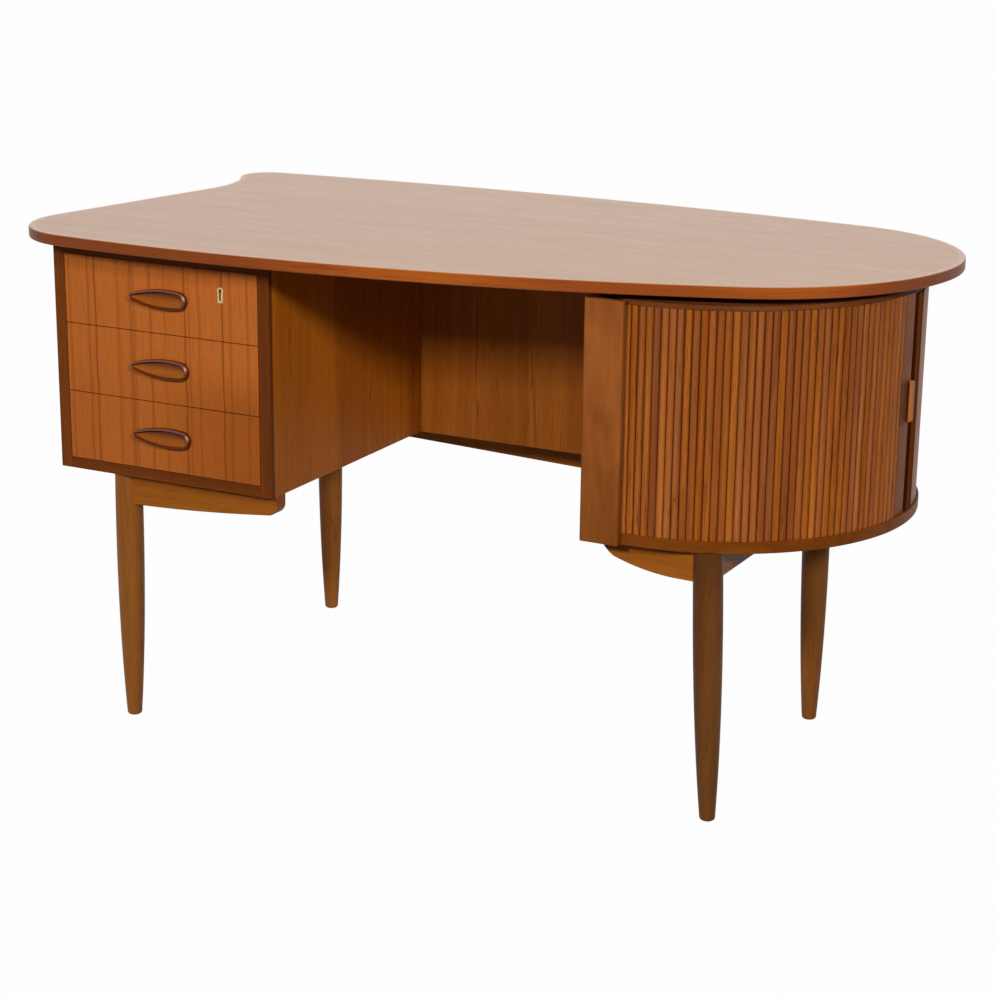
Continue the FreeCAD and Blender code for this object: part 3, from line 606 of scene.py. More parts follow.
# %% Boards of the carcasses
plank_ease = 0.5
planks = [
    (side_veneer, "carcass_veneer", ["pedestal_side_left", "pedestal_side_right"]),
    (carcass_veneer, "carcass_veneer", ["pedestal_bottom", "pedestal_back", "modesty_panel",
                                        "bookcase_divider", "cabinet_side"]),
    (rail_teak, "carcass_veneer", ["bookcase_bottom", "bookcase_top", "bookcase_shelf_left",
                                   "bookcase_shelf_right"]),
    (dark_teak, "dark_teak", ["pedestal_edging_left", "pedestal_edging_right"]),
    (dark_level, "dark_teak", ["pedestal_edging_bottom", "pedestal_edging_top"]),
]
for finish, slot, nodes in planks:
    for node in nodes:
        piece(node + "_plank", [shell(board(*place(node), plank_ease))], finish, "frame", [node])
print("planks:", sum(len(nodes) for finish, slot, nodes in planks))

# %% [markdown]
# ## Drawer fronts
# All three fronts were cut from one sheet of veneer, so the same dark growth lines run down through them.
# Each line is a narrow band about a place across the front, and a slow noise along the height makes it wander
# a little. Towards its lower right the sheet is a deeper brown, painted shade where less light falls. Its
# broad bands and pores are those of the other teak.

# %% Veneer of the drawer fronts
# Each growth line has its place across the fronts, its half width, both in millimetres, and its strength.
growth_lines = [(26, 4, 0.24), (58, 4, 0.3), (70, 2.5, 0.7), (109, 5, 0.32), (131, 6, 0.36),
                (137, 2.5, 0.3), (164, 4, 0.42), (188, 4, 0.35), (222, 3, 0.62), (229, 3, 0.36),
                (245, 4, 0.32), (284, 2.5, 0.6), (297, 4, 0.26), (325, 4, 0.36)]
drawer_veneer, wire, shader = new_finish("drawer_veneer")
grain = grain_space(wire, "z", 15)
band, vein, ripple, pore = wood_layers(grain, 1.5)
sheet = wire.node("TexCoord", {}, {}, 3).moved(tuple(-corner)).stretch((1000, 1000, 1000))
wander = sheet.stretch((0.01, 0.01, 1)).noise(0.012, 2.0) * 6 - 3.0
across = sheet.part(0) + wander
height = sheet.part(2)
streak = 0.0
for middle, width, depth in growth_lines:
    streak = abs(across - float(middle)).fade(width, 0) * depth + streak
fading = grain.noise(0.02, 2.0).fade(0.3, 0.6) * 0.5 + 0.5
broad = (band * 0.4).blend(rgb(0.465, 0.126, 0.021), rgb(0.395, 0.102, 0.0145))
colour = (ripple * 0.35).blend(broad, rgb(0.375, 0.097, 0.013))
# Painted shade: the sheet darkens towards the lower right, where less light falls.
deeper = height.fade(190, 110) * (across.fade(120, 330) * 0.6 + 0.2)
colour = deeper.blend(colour, rgb(0.29, 0.068, 0.008))
colour = (streak * fading * 1.3).blend(colour, rgb(0.12, 0.026, 0.003))
colour = (pore * 0.3).blend(colour, rgb(0.15, 0.036, 0.004))
oil(shader, colour, vein, ripple, pore, gloss=0.45, shine=0.12)
print("growth lines on the drawer fronts:", len(growth_lines))

# %% [markdown]
# ## Fronts, keyhole and key plate
# The top front has a keyhole, so it isn't a plain plank: its loops run round the outside, over the face to
# the hole's edge, and through the hole to the back. A boolean cut would do it too, but leaves ragged faces.
# Both edges are given as a distance from the eye of the keyhole at each angle, and the brass plate on it is
# made the same way.

# %% Fronts
eye_x, eye_z = 282.0, 662.5
eye_radius, slot_half, slot_drop = 2.4, 1.4, 13.5


def keyhole(angle, eye, half_width, drop):
    """Distance from the eye's middle at an angle: the round eye or the slot's sides, whichever is farther."""
    x, z = np.cos(angle), np.sin(angle)
    slot = np.minimum(half_width / np.maximum(abs(x), 1e-9), drop / np.maximum(-z, 1e-9))
    return np.maximum(eye, np.where(z < 0, slot, 0))


def round_eye(angle, reach, y):
    """Plan points at a distance from the keyhole's eye, at a depth."""
    return plan(eye_x + reach * np.cos(angle), y, eye_z + reach * np.sin(angle))


low, high = place("drawer_upper_front")
edges = np.array([[low[0], low[2]], [high[0], low[2]], [high[0], high[2]], [low[0], high[2]]])
edges = edges - [eye_x, eye_z]
corner_angles = np.arctan2(edges[:, 1], edges[:, 0])
even_angles = np.linspace(-np.pi, np.pi, 120, endpoint=False) + 0.01
around = np.sort(np.concatenate([even_angles, corner_angles]))
cosine, sine = np.cos(around), np.sin(around)
to_side = np.where(cosine > 0, edges[1, 0], edges[0, 0]) / cosine
to_level = np.where(sine > 0, edges[2, 1], edges[0, 1]) / sine
reach = np.minimum(to_side, to_level)
outline = np.stack([eye_x + reach * cosine, eye_z + reach * sine], 1)
hole = keyhole(around, eye_radius, slot_half, slot_drop)
outside = facing(stack(outline, low[1], high[1], plank_ease))
inside = np.stack([round_eye(around, hole, high[1]), round_eye(around, hole, low[1])])
upper = shell(np.concatenate([outside, inside]), True)
piece("drawer_upper_face", [upper], drawer_veneer, "drawer_upper", ["drawer_upper_front"])
for level in ("lower", "middle"):
    node = "drawer_%s_front" % level
    piece("drawer_%s_face" % level, [shell(board(*place(node), plank_ease))], drawer_veneer,
          "drawer_" + level, [node])
print("keyhole reaches", round(float(hole.max()), 1), "mm below its eye")

# %% Key plate
brass, wire, shader = new_finish("brass")
spot = wire.spot()
tarnish = spot.noise(0.25, 4.0).fade(0.35, 0.7)
scratch = spot.stretch((0.15, 1, 1)).noise(2.0, 2.0).fade(0.5, 0.75)
feed(shader, "Base Color", tarnish.blend(rgb(0.72, 0.53, 0.27), rgb(0.56, 0.39, 0.18)))
feed(shader, "Metallic", 0.85)
feed(shader, "Roughness", 0.32 + tarnish * 0.2 + scratch * 0.1)
emboss(shader, scratch, 0.3, 0.00005)

plate_eye, plate_half, plate_drop = 5.3, 4.4, 16.8
plate_wall, plate_round, plate_dish = 0.7, 0.5, 0.3
plate_face = plate_wall + plate_round
plate_edge = keyhole(around, plate_eye, plate_half, plate_drop)
quarter = np.linspace(0, np.pi / 2, 4)
rounded = [round_eye(around, plate_edge - plate_round * (1 - np.cos(angle)),
                     -plate_wall - plate_round * np.sin(angle)) for angle in quarter]
bore = [round_eye(around, hole + plate_dish, -plate_face),
        round_eye(around, hole, plate_dish - plate_face),
        round_eye(around, hole, 0)]
plate = np.stack([round_eye(around, plate_edge, 0)] + rounded + bore)
piece("key_plate", [shell(plate, True)], brass, "drawer_upper", ["escutcheon"])
print("key plate", 2 * plate_eye, "mm wide and", plate_face, "mm thick")

# %% [markdown]
# ## Carved pulls
# Each pull is a drop-shaped block of dark teak with a thin rim and a hollow for the fingertips. The hollow is
# deeper under the upper rim, so its floor leans up to the light. The outline is four arcs, as on the top, and
# it is carried through a profile of insets and heights: up the outer wall, over the rim, and down to the
# floor. Two numbers on the surface steer the finish: the hollow turns to the colour of the fronts, except in
# its upper part, which keeps the rim's dark brown as painted shade, and the rim gets a painted sheen along
# its upper crest and painted highlights at its two ends.

# %% Pull finish
pull_teak, wire, shader = new_finish("pull_teak")
band, vein, ripple, pore = wood_layers(grain_space(wire, "x", 55), 2.0)
hollow = wire.marked("hollow")
# The rim number lightens the rim: painted sheen on the upper crest and painted highlights at the ends.
painted_sheen = wire.marked("rim")
dark_rim = band.blend(rgb(0.15, 0.030, 0.005), rgb(0.10, 0.019, 0.003))
rim_colour = painted_sheen.blend(dark_rim, rgb(0.62, 0.46, 0.38))
floor_colour = band.blend(rgb(0.38, 0.108, 0.008), rgb(0.28, 0.072, 0.005))
# Where the hollow number is low, in the upper part of the hollow, the rim's dark brown is painted shade.
colour = (pore * 0.3).blend(hollow.blend(rim_colour, floor_colour), rgb(0.05, 0.012, 0.004))
oil(shader, colour, vein, ripple, pore, gloss=0.3, shine=0.1, relief=0.6)
feed(shader, "Coat Weight", 0.1)
feed(shader, "Coat Roughness", 0.2)
print("pull finish of", len(pull_teak.node_tree.nodes), "nodes")

# %% Shape of a pull
drop_left, drop_right = -47.5, 34.5
drop_tip, drop_end, drop_bow = 6, 13, 190
# How far the profile lies in from the drop's edge, and how far out from the drawer's front.
pull_in = np.array([0, 0, 0.1, 0.3, 0.7, 1.2, 1.8, 2.4, 2.9, 3.3, 3.7, 4.2, 5.0, 6.2, 7.6, 9.0])
pull_out = np.array([0, 2.5, 4.5, 6.0, 7.2, 7.8, 8, 7.8, 7.2, 6.2, 4.8, 3.6, 2.8, 2.3, 2.0, 2.0])
rim_width, carving_width = 3.2, 1.8


def drop(inset):
    """A drop's edge, anticlockwise in X and Z: a small tip, two long bows and a round end, all drawn in."""
    tip_round, end_round, bow = max(drop_tip - inset, 0.5), drop_end - inset, drop_bow - inset
    left, right = np.array([inset + tip_round + drop_left, 0]), np.array([drop_right, 0])
    below = enclosing(left, tip_round, right, end_round, bow)
    above = enclosing(right, end_round, left, tip_round, bow)
    low_start, low_end = bearing(below, left), bearing(below, right)
    high_start, high_end = bearing(above, right), bearing(above, left)
    return np.concatenate([arc(below, bow, low_start, low_end, 28),
                           arc(right, end_round, low_end, high_start, 28),
                           arc(above, bow, high_start, high_end, 28),
                           arc(left, tip_round, high_end, low_start % (2 * math.pi), 14)])


def painted_highlight(x, z, spread):
    """A painted highlight: e to the power of minus the squared distance from a point, over a spread."""
    return np.exp(-np.hypot(drops[..., 0] - x, drops[..., 1] - z) ** 2 / spread)


drops = np.stack([drop(inset) for inset in pull_in])
carved = np.clip((pull_in - rim_width) / carving_width, 0, 1)
lean_in = carved[:, None] * np.clip(drops[..., 1] * 0.2, -1.8, 1.5)
# Painted shade: the upper part of the hollow keeps the rim's dark colour, as if shaded by the rim.
floor_below_shade = carved[:, None] * np.clip((4.5 - drops[..., 1]) / 5, 0, 1)
crest = ((pull_in > 0.2) & (pull_in < 2.6))[:, None]
# Painted highlights at the right end and at the left tip.
polish = painted_highlight(44, 5, 8) + painted_highlight(-46.5, -1, 3) * 0.5
# Painted sheen along the upper crest, plus the painted highlights.
rim_sheen_and_highlights = crest * (np.clip(drops[..., 1] / 6, 0, 1) * 0.12 + polish * 0.8)
print("pulls", np.round(np.ptp(drops[0], 0), 1), "mm")

# %% Pulls
for level in ("lower", "middle", "upper"):
    node = "drawer_%s_pull" % level
    low, high = place(node)
    mid_x, mid_z = (low[0] + high[0]) / 2, (low[2] + high[2]) / 2
    loops = plan(mid_x + drops[..., 0], high[1] - pull_out[:, None] + lean_in, mid_z + drops[..., 1])
    made = piece("drawer_%s_grip" % level, [shell(loops)], pull_teak, "drawer_" + level, [node])
    mark_points(made, "hollow", floor_below_shade)
    mark_points(made, "rim", rim_sheen_and_highlights)
    print(made.name, "of", len(made.data.polygons), "faces")

# %% [markdown]
# ## Round cabinet
# The cabinet stands between a floor and a ceiling whose rims follow one circle. A groove near the floor's rim
# holds the ends of the curtain's slats, and at the ceiling the slats' round fronts stand proud of the board.
# Each board is built of stacked plates and rings, one on each side of the groove. A groove could be cut with
# a boolean, but plates keep every edge clean.

# %% Plan of the cabinet
cabinet = np.array([880.0, 335.0])
rim_radius, groove_outer, groove_inner, ceiling_radius = 289.0, 285.5, 277.2, 283.5
groove_end = math.radians(-2.2)
left_wall, back_wall = 814.0, 600.0
block_x, block_y = 838.0, 75.0


def side_angle(radius, left=block_x):
    """Where a circle about the cabinet's middle meets an upright plane, such as the front stile's block."""
    return -math.pi / 2 - math.asin((cabinet[0] - left) / radius)


def back_angle(radius, depth=back_wall):
    """Where a circle about the cabinet's middle meets the flat back."""
    return math.asin((depth - cabinet[1]) / radius)


def round_plate(radius, inner=None):
    """A disc cut straight at the left and the back, and round the stile. Past the groove it may be wider."""
    if inner:
        bow = np.concatenate([arc(cabinet, inner, side_angle(inner), groove_end, 70, True),
                              arc(cabinet, radius, groove_end, back_angle(radius), 50, True)])
    else:
        bow = arc(cabinet, radius, side_angle(radius), back_angle(radius), 120, True)
    return np.concatenate([bow, [(left_wall, back_wall), (left_wall, block_y), (block_x, block_y)]])


print("cabinet rim", 2 * rim_radius, "mm across")

# %% Floor, ceiling and shelf of the cabinet
floor_low, groove_floor, floor_high = 376, 388, 392
ceiling_low, groove_ceiling, ceiling_high = 692, 696, 702
outer_bow = arc(cabinet, rim_radius, side_angle(rim_radius), back_angle(rim_radius), 120, True)
inner_bow = arc(cabinet, groove_outer, back_angle(groove_outer), side_angle(groove_outer), 120, True)
floor_parts = [stack(round_plate(rim_radius), floor_low, groove_floor, 1.5, 0),
               stack(round_plate(rim_radius - 2, groove_inner), groove_floor, floor_high, 0, 0),
               stack(np.concatenate([outer_bow, inner_bow]), groove_floor, floor_high, 0, 1.2)]
ceiling_parts = [stack(round_plate(ceiling_radius), groove_ceiling, ceiling_high, 0, 1.0),
                 stack(round_plate(ceiling_radius, groove_inner), ceiling_low, groove_ceiling, 0, 0)]
piece("cabinet_bottom_board", [shell(upright(part)) for part in floor_parts], rim_teak,
      "frame", ["cabinet_bottom"])
piece("cabinet_top_board", [shell(upright(part)) for part in ceiling_parts], shaded_ceiling_teak,
      "frame", ["cabinet_top"])
shelf_radius, shelf_left, shelf_back = 261.7, 832, 582
shelf_low, shelf_high = 542, 556
shelf_start, shelf_end = side_angle(shelf_radius, shelf_left), back_angle(shelf_radius, shelf_back)
shelf_bow = arc(cabinet, shelf_radius, shelf_start, shelf_end, 100, True)
shelf = np.concatenate([shelf_bow, [(shelf_left, shelf_back)]])
piece("cabinet_shelf_board", [shell(upright(stack(shelf, shelf_low, shelf_high, 1.0)))], rail_teak,
      "frame", ["cabinet_shelf"])
print("cabinet boards of", len(floor_parts), "and", len(ceiling_parts), "plates, and a shelf")

# %% [markdown]
# ## Stiles and curved wall
# A broad front stile closes the gap between the curtain and the kneehole. Its front edges are rounded, where
# hands and knees pass, and its solid wood is blotchy and painted darker towards the floor as painted shade. A
# narrow dark stile stops the curtain at the other end, with painted shade where the two meet, and a curved
# wall goes on from it to the back.

# %% Front stile
stile_teak, wire, shader = new_finish("stile_teak")
band, vein, ripple, pore = wood_layers(grain_space(wire, "z", 33), 1.0)
spot = wire.spot()
blotch = spot.stretch((1, 1, 0.3)).noise(0.03, 2.0, 0.2).fade(0.28, 0.75)
height = spot.part(2)
colour = blotch.blend(rgb(0.32, 0.096, 0.020), rgb(0.19, 0.050, 0.008))
# The height term is painted shade that darkens the stile towards the floor; pores and ripple add the grain.
darker = height.fade(520, 400) * 0.55 + pore * 0.2 + ripple * 0.15
colour = darker.blend(colour, rgb(0.15, 0.042, 0.005))
oil(shader, colour, vein, ripple, pore, gloss=0.45, shine=0.1)
stile_front, stile_back, stile_right = 35, 45, 869
stile_corners = [(left_wall, stile_front), (stile_right, stile_front), (stile_right, stile_back),
                 (block_x, stile_back), (block_x, block_y), (left_wall, block_y)]
stile_outline = soften(stile_corners, [3.5, 4, 1, 0.5, 1, 1], 6)
stile = stack(stile_outline, floor_low, ceiling_high, 2.0, 0.8, 5)
piece("front_stile_post", [shell(upright(stile))], stile_teak, "frame", ["front_stile"])
print("front stile", np.ptp(stile[..., 0]), "mm wide")

# %% Rear stile and wall
wall_inner, wall_outer = 273, 285
stile_start, stile_width = math.radians(-2.0), 32
stile_finish = stile_start + stile_width / wall_outer


def curved_board(start, inner_finish, outer_finish):
    """A piece of a ring: the outer arc one way and the inner arc back, about the cabinet's middle."""
    return np.concatenate([arc(cabinet, wall_outer, start, outer_finish, 60, True),
                           arc(cabinet, wall_inner, inner_finish, start, 60, True)])


rear = stack(curved_board(stile_start, stile_finish, stile_finish), floor_high, ceiling_low, 0.5)
post = piece("rear_stile_post", [shell(upright(rear))], rear_teak, "frame", ["rear_stile"])
from_start = (np.arctan2(*(rear[..., 1::-1] - cabinet[::-1]).T).T - stile_start) * wall_outer
# Painted shade where the curtain meets this stile: its first few millimetres are darkened.
mark_points(post, "groove", np.clip(2.2 - from_start / 5, 0, 1))
wall = curved_board(stile_finish, back_angle(wall_inner), back_angle(wall_outer))
piece("curved_wall_panel", [shell(upright(stack(wall, floor_high, ceiling_low, 0.3)))], wall_veneer,
      "frame", ["curved_wall"])
stile_angles = [round(math.degrees(angle), 1) for angle in (stile_start, stile_finish)]
print("rear stile from %s to %s degrees" % tuple(stile_angles))

# %% [markdown]
# ## Curtain of slats
# Forty-three half round slats are glued to a canvas and slide in the groove. Each was cut from another strip
# of wood, so each has its own tone, warmth and width, drawn by chance; on top of the chance the tone swings
# smoothly along the curtain as painted light. The first two are kept as numbers on its surface, together with
# a number that darkens its sides towards the gaps, painted shade with dust in it, and the first slat is dark
# all over as a painted shadow of the front stile. A finish for each slat would do it too, but then one change
# would mean forty-three.

# %% Slat finish
slat_teak, wire, shader = new_finish("slat_teak")
grain = grain_space(wire, "z", 120)
band, vein, ripple, pore = wood_layers(grain, 2.2)
tone = wire.marked("tone")
warm = wire.marked("warmth")
groove = wire.marked("groove")
pale_brown = warm.blend(rgb(0.42, 0.136, 0.036), rgb(0.54, 0.155, 0.012))
deep_brown = warm.blend(rgb(0.19, 0.048, 0.012), rgb(0.25, 0.054, 0.004))
streaks = grain.noise(0.16, 3.0, 0.4).fade(0.36, 0.66)
colour = (tone * 0.65 + streaks * 0.35).blend(deep_brown, pale_brown)
colour = (band * 0.3 + ripple * 0.25).blend(colour, rgb(0.17, 0.042, 0.005))
# The gap number times this noise darkens each slat's sides: painted shade between the slats, with dust.
dust = grain.noise(0.5, 2.0).fade(0.38, 0.62) * 0.30 + 0.03
colour = (vein * 0.6 + pore * 0.35 + groove * dust).blend(colour, rgb(0.06, 0.014, 0.002))
oil(shader, colour, vein, ripple, pore, gloss=0.45, shine=0.17)
print("slat finish of", len(slat_teak.node_tree.nodes), "nodes")

# %% Canvas
canvas, wire, shader = new_finish("canvas")
spot = wire.spot()
warp = spot.stretch((1, 1, 0.1)).noise(0.9, 1.0)
weft = spot.stretch((0.1, 0.1, 1)).noise(0.9, 1.0)
weave = (warp + weft).fade(0.8, 1.2)
feed(shader, "Base Color", weave.blend(rgb(0.24, 0.17, 0.10), rgb(0.36, 0.27, 0.17)))
feed(shader, "Roughness", 0.85 + weave * 0.1)
emboss(shader, weave, 0.5, 0.0003)
print("canvas of", len(canvas.node_tree.nodes), "nodes")

# %% [markdown]
# ## How the curtain moves
# At the closing edge a flat strip, as wide as three slats, carries the pull. It turns on a hinge together
# with the two slats beside it. On the real desk the others follow round a bend inside the cabinet. Here, for
# each of the others, the start and end of a blend that would turn it by its own share of the strip's angle
# are worked out, but not used, so they stay where they are.

# %% Steps of the curtain
step_count, lead_count, strip_count = 46, 5, 3
slat_count, trailing = step_count - strip_count, step_count - lead_count
half_width, crown, slat_outer, canvas_inner = 4.9, 4.0, 285.0, 277.7
hidden_width = 4.0
first_edge, last_edge = side_angle(slat_outer, block_x + hidden_width), math.radians(-2.4)
step = (last_edge - first_edge) / step_count
slat_low, slat_high, slat_ease = groove_floor + 0.4, groove_ceiling - 0.4, 0.3


def at_angle(loops, angle):
    """A stack whose outline is across and minus outward, turned about the cabinet's middle to an angle."""
    across_way = np.array([-math.sin(angle), math.cos(angle)])
    out_way = np.array([math.cos(angle), math.sin(angle)])
    flat = cabinet + loops[..., :1] * across_way - loops[..., 1:2] * out_way
    return plan(flat[..., 0], flat[..., 1], loops[..., 2])


def share_points(at, share):
    """Start and end of a blend that turns a whole small piece by one share: far away, on either side."""
    far = np.array([1000.0, 0, 0])
    t = 0.5 - math.sin(math.asin(1 - 2 * share) / 3)
    return tuple(at - far * t), tuple(at + far * (1 - t))


def lay_canvas(made):
    """The faces at the curtain's back, known by their distance from the cabinet's middle, show the canvas."""
    mesh = made.data
    mesh.materials.append(canvas)
    middles = np.empty(len(mesh.polygons) * 3, np.float32)
    mesh.polygons.foreach_get("center", middles)
    away = np.hypot(*((middles.reshape(-1, 3) - plan(*cabinet, 0))[:, :2].T * 1000))
    mesh.polygons.foreach_set("material_index", (away < canvas_inner + 0.2).astype(np.int32))


print("a step of the curtain is", round(step * slat_outer, 2), "mm wide")

# %% Slats
bend = np.linspace(0, np.pi, 13)
across_slat = np.concatenate([-half_width * np.cos(bend), [half_width, -half_width]])
out_slat = np.concatenate([slat_outer - crown + crown * np.sin(bend), [canvas_inner, canvas_inner]])
section = np.stack([across_slat, -out_slat], 1)[::-1]
# Painted shade between the slats: each slat darkens towards its sides.
painted_gap_shade = np.clip((abs(section[:, 0]) / half_width - 0.45) / 0.55, 0, 1) ** 1.5
# The first slat is darkened all over: a painted shadow of the front stile.
first_slat_shadow = 2.4
chance = np.random.default_rng(7)
round_bend = np.linspace(0, 1, step_count)
# Painted light: the tone swings smoothly along the curtain, paler at both ends and most at the right.
painted_light_swing = np.cos(round_bend * 2 * np.pi) * 0.18 + round_bend ** 2 * 0.26
tones = np.clip(0.37 + painted_light_swing + (chance.random(step_count) - 0.5) * 0.85, 0, 1)
warmths = chance.random(step_count)
widths = 1 - chance.random(step_count) ** 2 * 0.04
for number in range(slat_count):
    angle = first_edge + (number + 0.5) * step
    loops = stack(section * (widths[number], 1), slat_low, slat_high, slat_ease, steps=2)
    loops = at_angle(loops, angle)
    leads = number >= trailing
    group = "curtain_lead_" if leads else "curtain_trail_"
    made = piece("slat_%02d" % (number + 1), [shell(loops)], slat_teak,
                 "curtain" if leads else None, [group + "slats", group + "canvas"], even=False)
    lay_canvas(made)
    mark_points(made, "tone", tones[number])
    mark_points(made, "warmth", warmths[number])
    mark_points(made, "groove", np.tile(painted_gap_shade, loops.shape[0]) if number else first_slat_shadow)
    if not leads:
        start, finish = share_points(loops.reshape(-1, 3).mean(0), number / (trailing - 1))
        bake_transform(made)
print(slat_count, "slats,", lead_count - strip_count, "of them lead")

# %% [markdown]
# ## Leading strip and pull
# The strip is bent to the curtain's circle, with its front edges rounded, and it is darkened beside the pull
# as a painted shadow of the pull. Four more loops, just below and above the pull's two ends, let that painted
# shadow start and stop there. The pull itself is a small tab of paler wood with two round corners. A plain
# block with a bevel would be close, but its corners are rounder than its edges.

# %% Leading strip
strip_teak = teak("strip_teak", rgb(0.27, 0.088, 0.032), rgb(0.21, 0.064, 0.022), rgb(0.09, 0.024, 0.007),
                  shine=0.10, seed=61)
pull_low, pull_high, pull_shadow_width = 519, 576, 8
strip_half, strip_outer, strip_round = strip_count * step * slat_outer / 2 - 0.15, slat_outer - 1, 1.5
across_strip = strip_half * np.sin(np.linspace(-np.pi / 2, np.pi / 2, 41))
in_edge = np.clip((abs(across_strip) - strip_half) / strip_round + 1, 0, 1)
out_strip = np.sqrt(strip_outer ** 2 - across_strip ** 2) - strip_round * (1 - np.sqrt(1 - in_edge ** 2))
strip_back = [(strip_half, -canvas_inner), (-strip_half, -canvas_inner)]
strip_section = np.concatenate([np.stack([across_strip, -out_strip], 1), strip_back])[::-1]
strip = stack(strip_section, slat_low, slat_high, slat_ease, steps=2)
beside_pull = np.repeat(strip[2:3], 4, 0)
beside_pull[..., 2] = np.array([[pull_low - 5], [pull_low + 1], [pull_high - 3], [pull_high + 6]])
strip = np.concatenate([strip[:3], beside_pull, strip[3:]])
made = piece("leading_strip", [shell(at_angle(strip, last_edge - strip_count * step / 2))], strip_teak,
             "curtain", ["curtain_lead_slats", "curtain_lead_canvas"])
lay_canvas(made)
# Painted shadow of the pull: the strip darkens beside it, between the pull's two ends.
painted_pull_shadow = (strip[..., 2] > pull_low) & (strip[..., 2] < pull_high) & (strip[..., 0] < pull_shadow_width)
mark_points(made, "groove", painted_pull_shadow * 0.9)
print("leading strip", round(2 * strip_half, 1), "mm wide")

# %% Pull of the curtain
pull_angle, pull_outer, pull_half, pull_ease = last_edge - step / 2, 291, 4.25, 2.0
pull_corners = [(strip_outer, pull_low), (pull_outer, pull_low), (pull_outer, pull_high),
                (strip_outer, pull_high)]
loops = stack(soften(pull_corners, [0.5, 4, 4, 0.5], 6), -pull_half, pull_half, pull_ease)
tab = at_angle(np.stack([loops[..., 2], -loops[..., 0], loops[..., 1]], -1), pull_angle)
tab_teak = teak("tab_teak", rgb(0.45, 0.16, 0.040), rgb(0.36, 0.12, 0.028), rgb(0.16, 0.045, 0.010), "z",
                seed=64)
piece("curtain_tab", [shell(tab)], tab_teak, "curtain", ["curtain_pull"])
print("pull", pull_high - pull_low, "mm high")

# %% [markdown]
# ## Legs
# The legs are turned: slim at the foot, fullest at two thirds of their height and a little slimmer again at
# the top. A turned piece is one radius for each height, so a cubic through four measured radii, carried round
# a circle, is the whole leg, with a small round at the foot so that it doesn't chip. Three of them lean, by
# up to two and a half degrees, so each circle's middle moves from the foot's place to the head's. The front
# right one is darker at its head, as painted shade under the cabinet.

# %% Legs
foot_round = 4
leg_heights, leg_radii = [foot_round, 140, 270, floor_low], [10.8, 17.7, 20.0, 19.6]
leg_curve = np.polyfit(leg_heights, leg_radii, 3)
quarter = np.linspace(0, np.pi / 2, 5)[:-1]
rise = np.concatenate([foot_round * (1 - np.cos(quarter)), np.linspace(foot_round, floor_low, 32)])
foot = leg_radii[0] - foot_round * (1 - np.sin(quarter))
girth = np.concatenate([foot, np.polyval(leg_curve, rise[len(quarter):])])
circle = np.linspace(0, 2 * np.pi, 48, endpoint=False)
round_x, round_y = girth[:, None] * np.cos(circle), girth[:, None] * np.sin(circle)
# Painted shade under the cabinet: the head of the front right leg is darkened.
head_shade = np.clip((rise - 300) / 50, 0, 1) * 0.35
leg_ends = {"front_left": ((100.2, 24), (96.7, 24)), "rear_left": ((103.6, 581), (103.6, 581)),
            "front_right": ((978.6, 82), (994.4, 76)), "rear_right": ((985.9, 490), (990.1, 490))}
for name, ends in leg_ends.items():
    head, toe = np.array(ends, float)
    axis = toe + (rise / floor_low)[:, None] * (head - toe)
    loops = plan(axis[:, :1] + round_x, axis[:, 1:] + round_y, rise[:, None])
    node = "leg_" + name
    made = piece(node + "_turned", [shell(loops)], leg_teak[name], "frame", [node])
    if name == "front_right":
        mark_points(made, "groove", np.repeat(head_shade, len(circle)))
print("legs, fullest", round(2 * float(girth.max()), 1), "mm")

# %% [markdown]
# ## Brackets, rails and stretcher
# Under each carcass a bracket runs from the front leg: a long one that thins towards its rounded end, and a
# wing with a round toe and a long sweep. Rails join front and rear legs, and a stretcher ties the two pairs
# at the back. All are flat stock cut to an outline, so they are stacks along their thickness.

# %% Brackets
half_stock = 12


def through(first, middle, last, count=12):
    """A parabola through three points, run at an even pace: the way that a bent batten lies."""
    s = np.linspace(0, 1, count)[:, None]
    first, middle, last = (np.array(v, float) for v in (first, middle, last))
    bend = 2 * middle - (first + last) / 2
    return (1 - s) ** 2 * first + 2 * s * (1 - s) * bend + s ** 2 * last


def bracket(name, outline, leg, node):
    """Flat stock in line with a leg: an outline raised along its thickness, on either side of the head."""
    depth = leg_ends[leg][0][1]
    loops = facing(stack(outline, depth - half_stock, depth + half_stock, 1.5))
    piece(name, [shell(loops)], rail_teak, "frame", [node])


leg_left, leg_right = leg_ends["front_left"][0][0], leg_ends["front_right"][0][0]
end_round = arc(np.array([344, 363]), 16, -math.pi / 2, 0, 12, True)
long_edge = through((leg_left, 330), (222.1, 335.7), (344, 347))
long_bracket = np.concatenate([long_edge, end_round[1:], [(360, floor_low), (leg_left, floor_low)]])
bracket("bracket_left_rail", long_bracket, "front_left", "bracket_left")
toe = through((829, floor_low), (835, 362.7), (849, 350.5))
sweep = through((849, 350.5), (891, 338.8), (934, 333.5))
wing = np.concatenate([toe, sweep[1:], [(leg_right, 332.5), (leg_right, floor_low)]])
bracket("bracket_right_wing", wing, "front_right", "bracket_right")
print("brackets", np.ptp(long_bracket[:, 0]), "and", np.ptp(wing[:, 0]), "mm long")


# %% Rails and stretcher
def rail(start, finish, low):
    """A straight bar between two legs: an eased rectangle in plan, turned to the way between them."""
    start, finish = np.array(start, float), np.array(finish, float)
    length = np.linalg.norm(finish - start)
    way = (finish - start) / length
    corners = [(0, -half_stock), (length, -half_stock), (length, half_stock), (0, half_stock)]
    bar = stack(soften(corners, 1.0), low, floor_low, 1.0)
    flat = start + bar[..., :1] * way + bar[..., 1:2] * np.array([-way[1], way[0]])
    return plan(flat[..., 0], flat[..., 1], bar[..., 2])


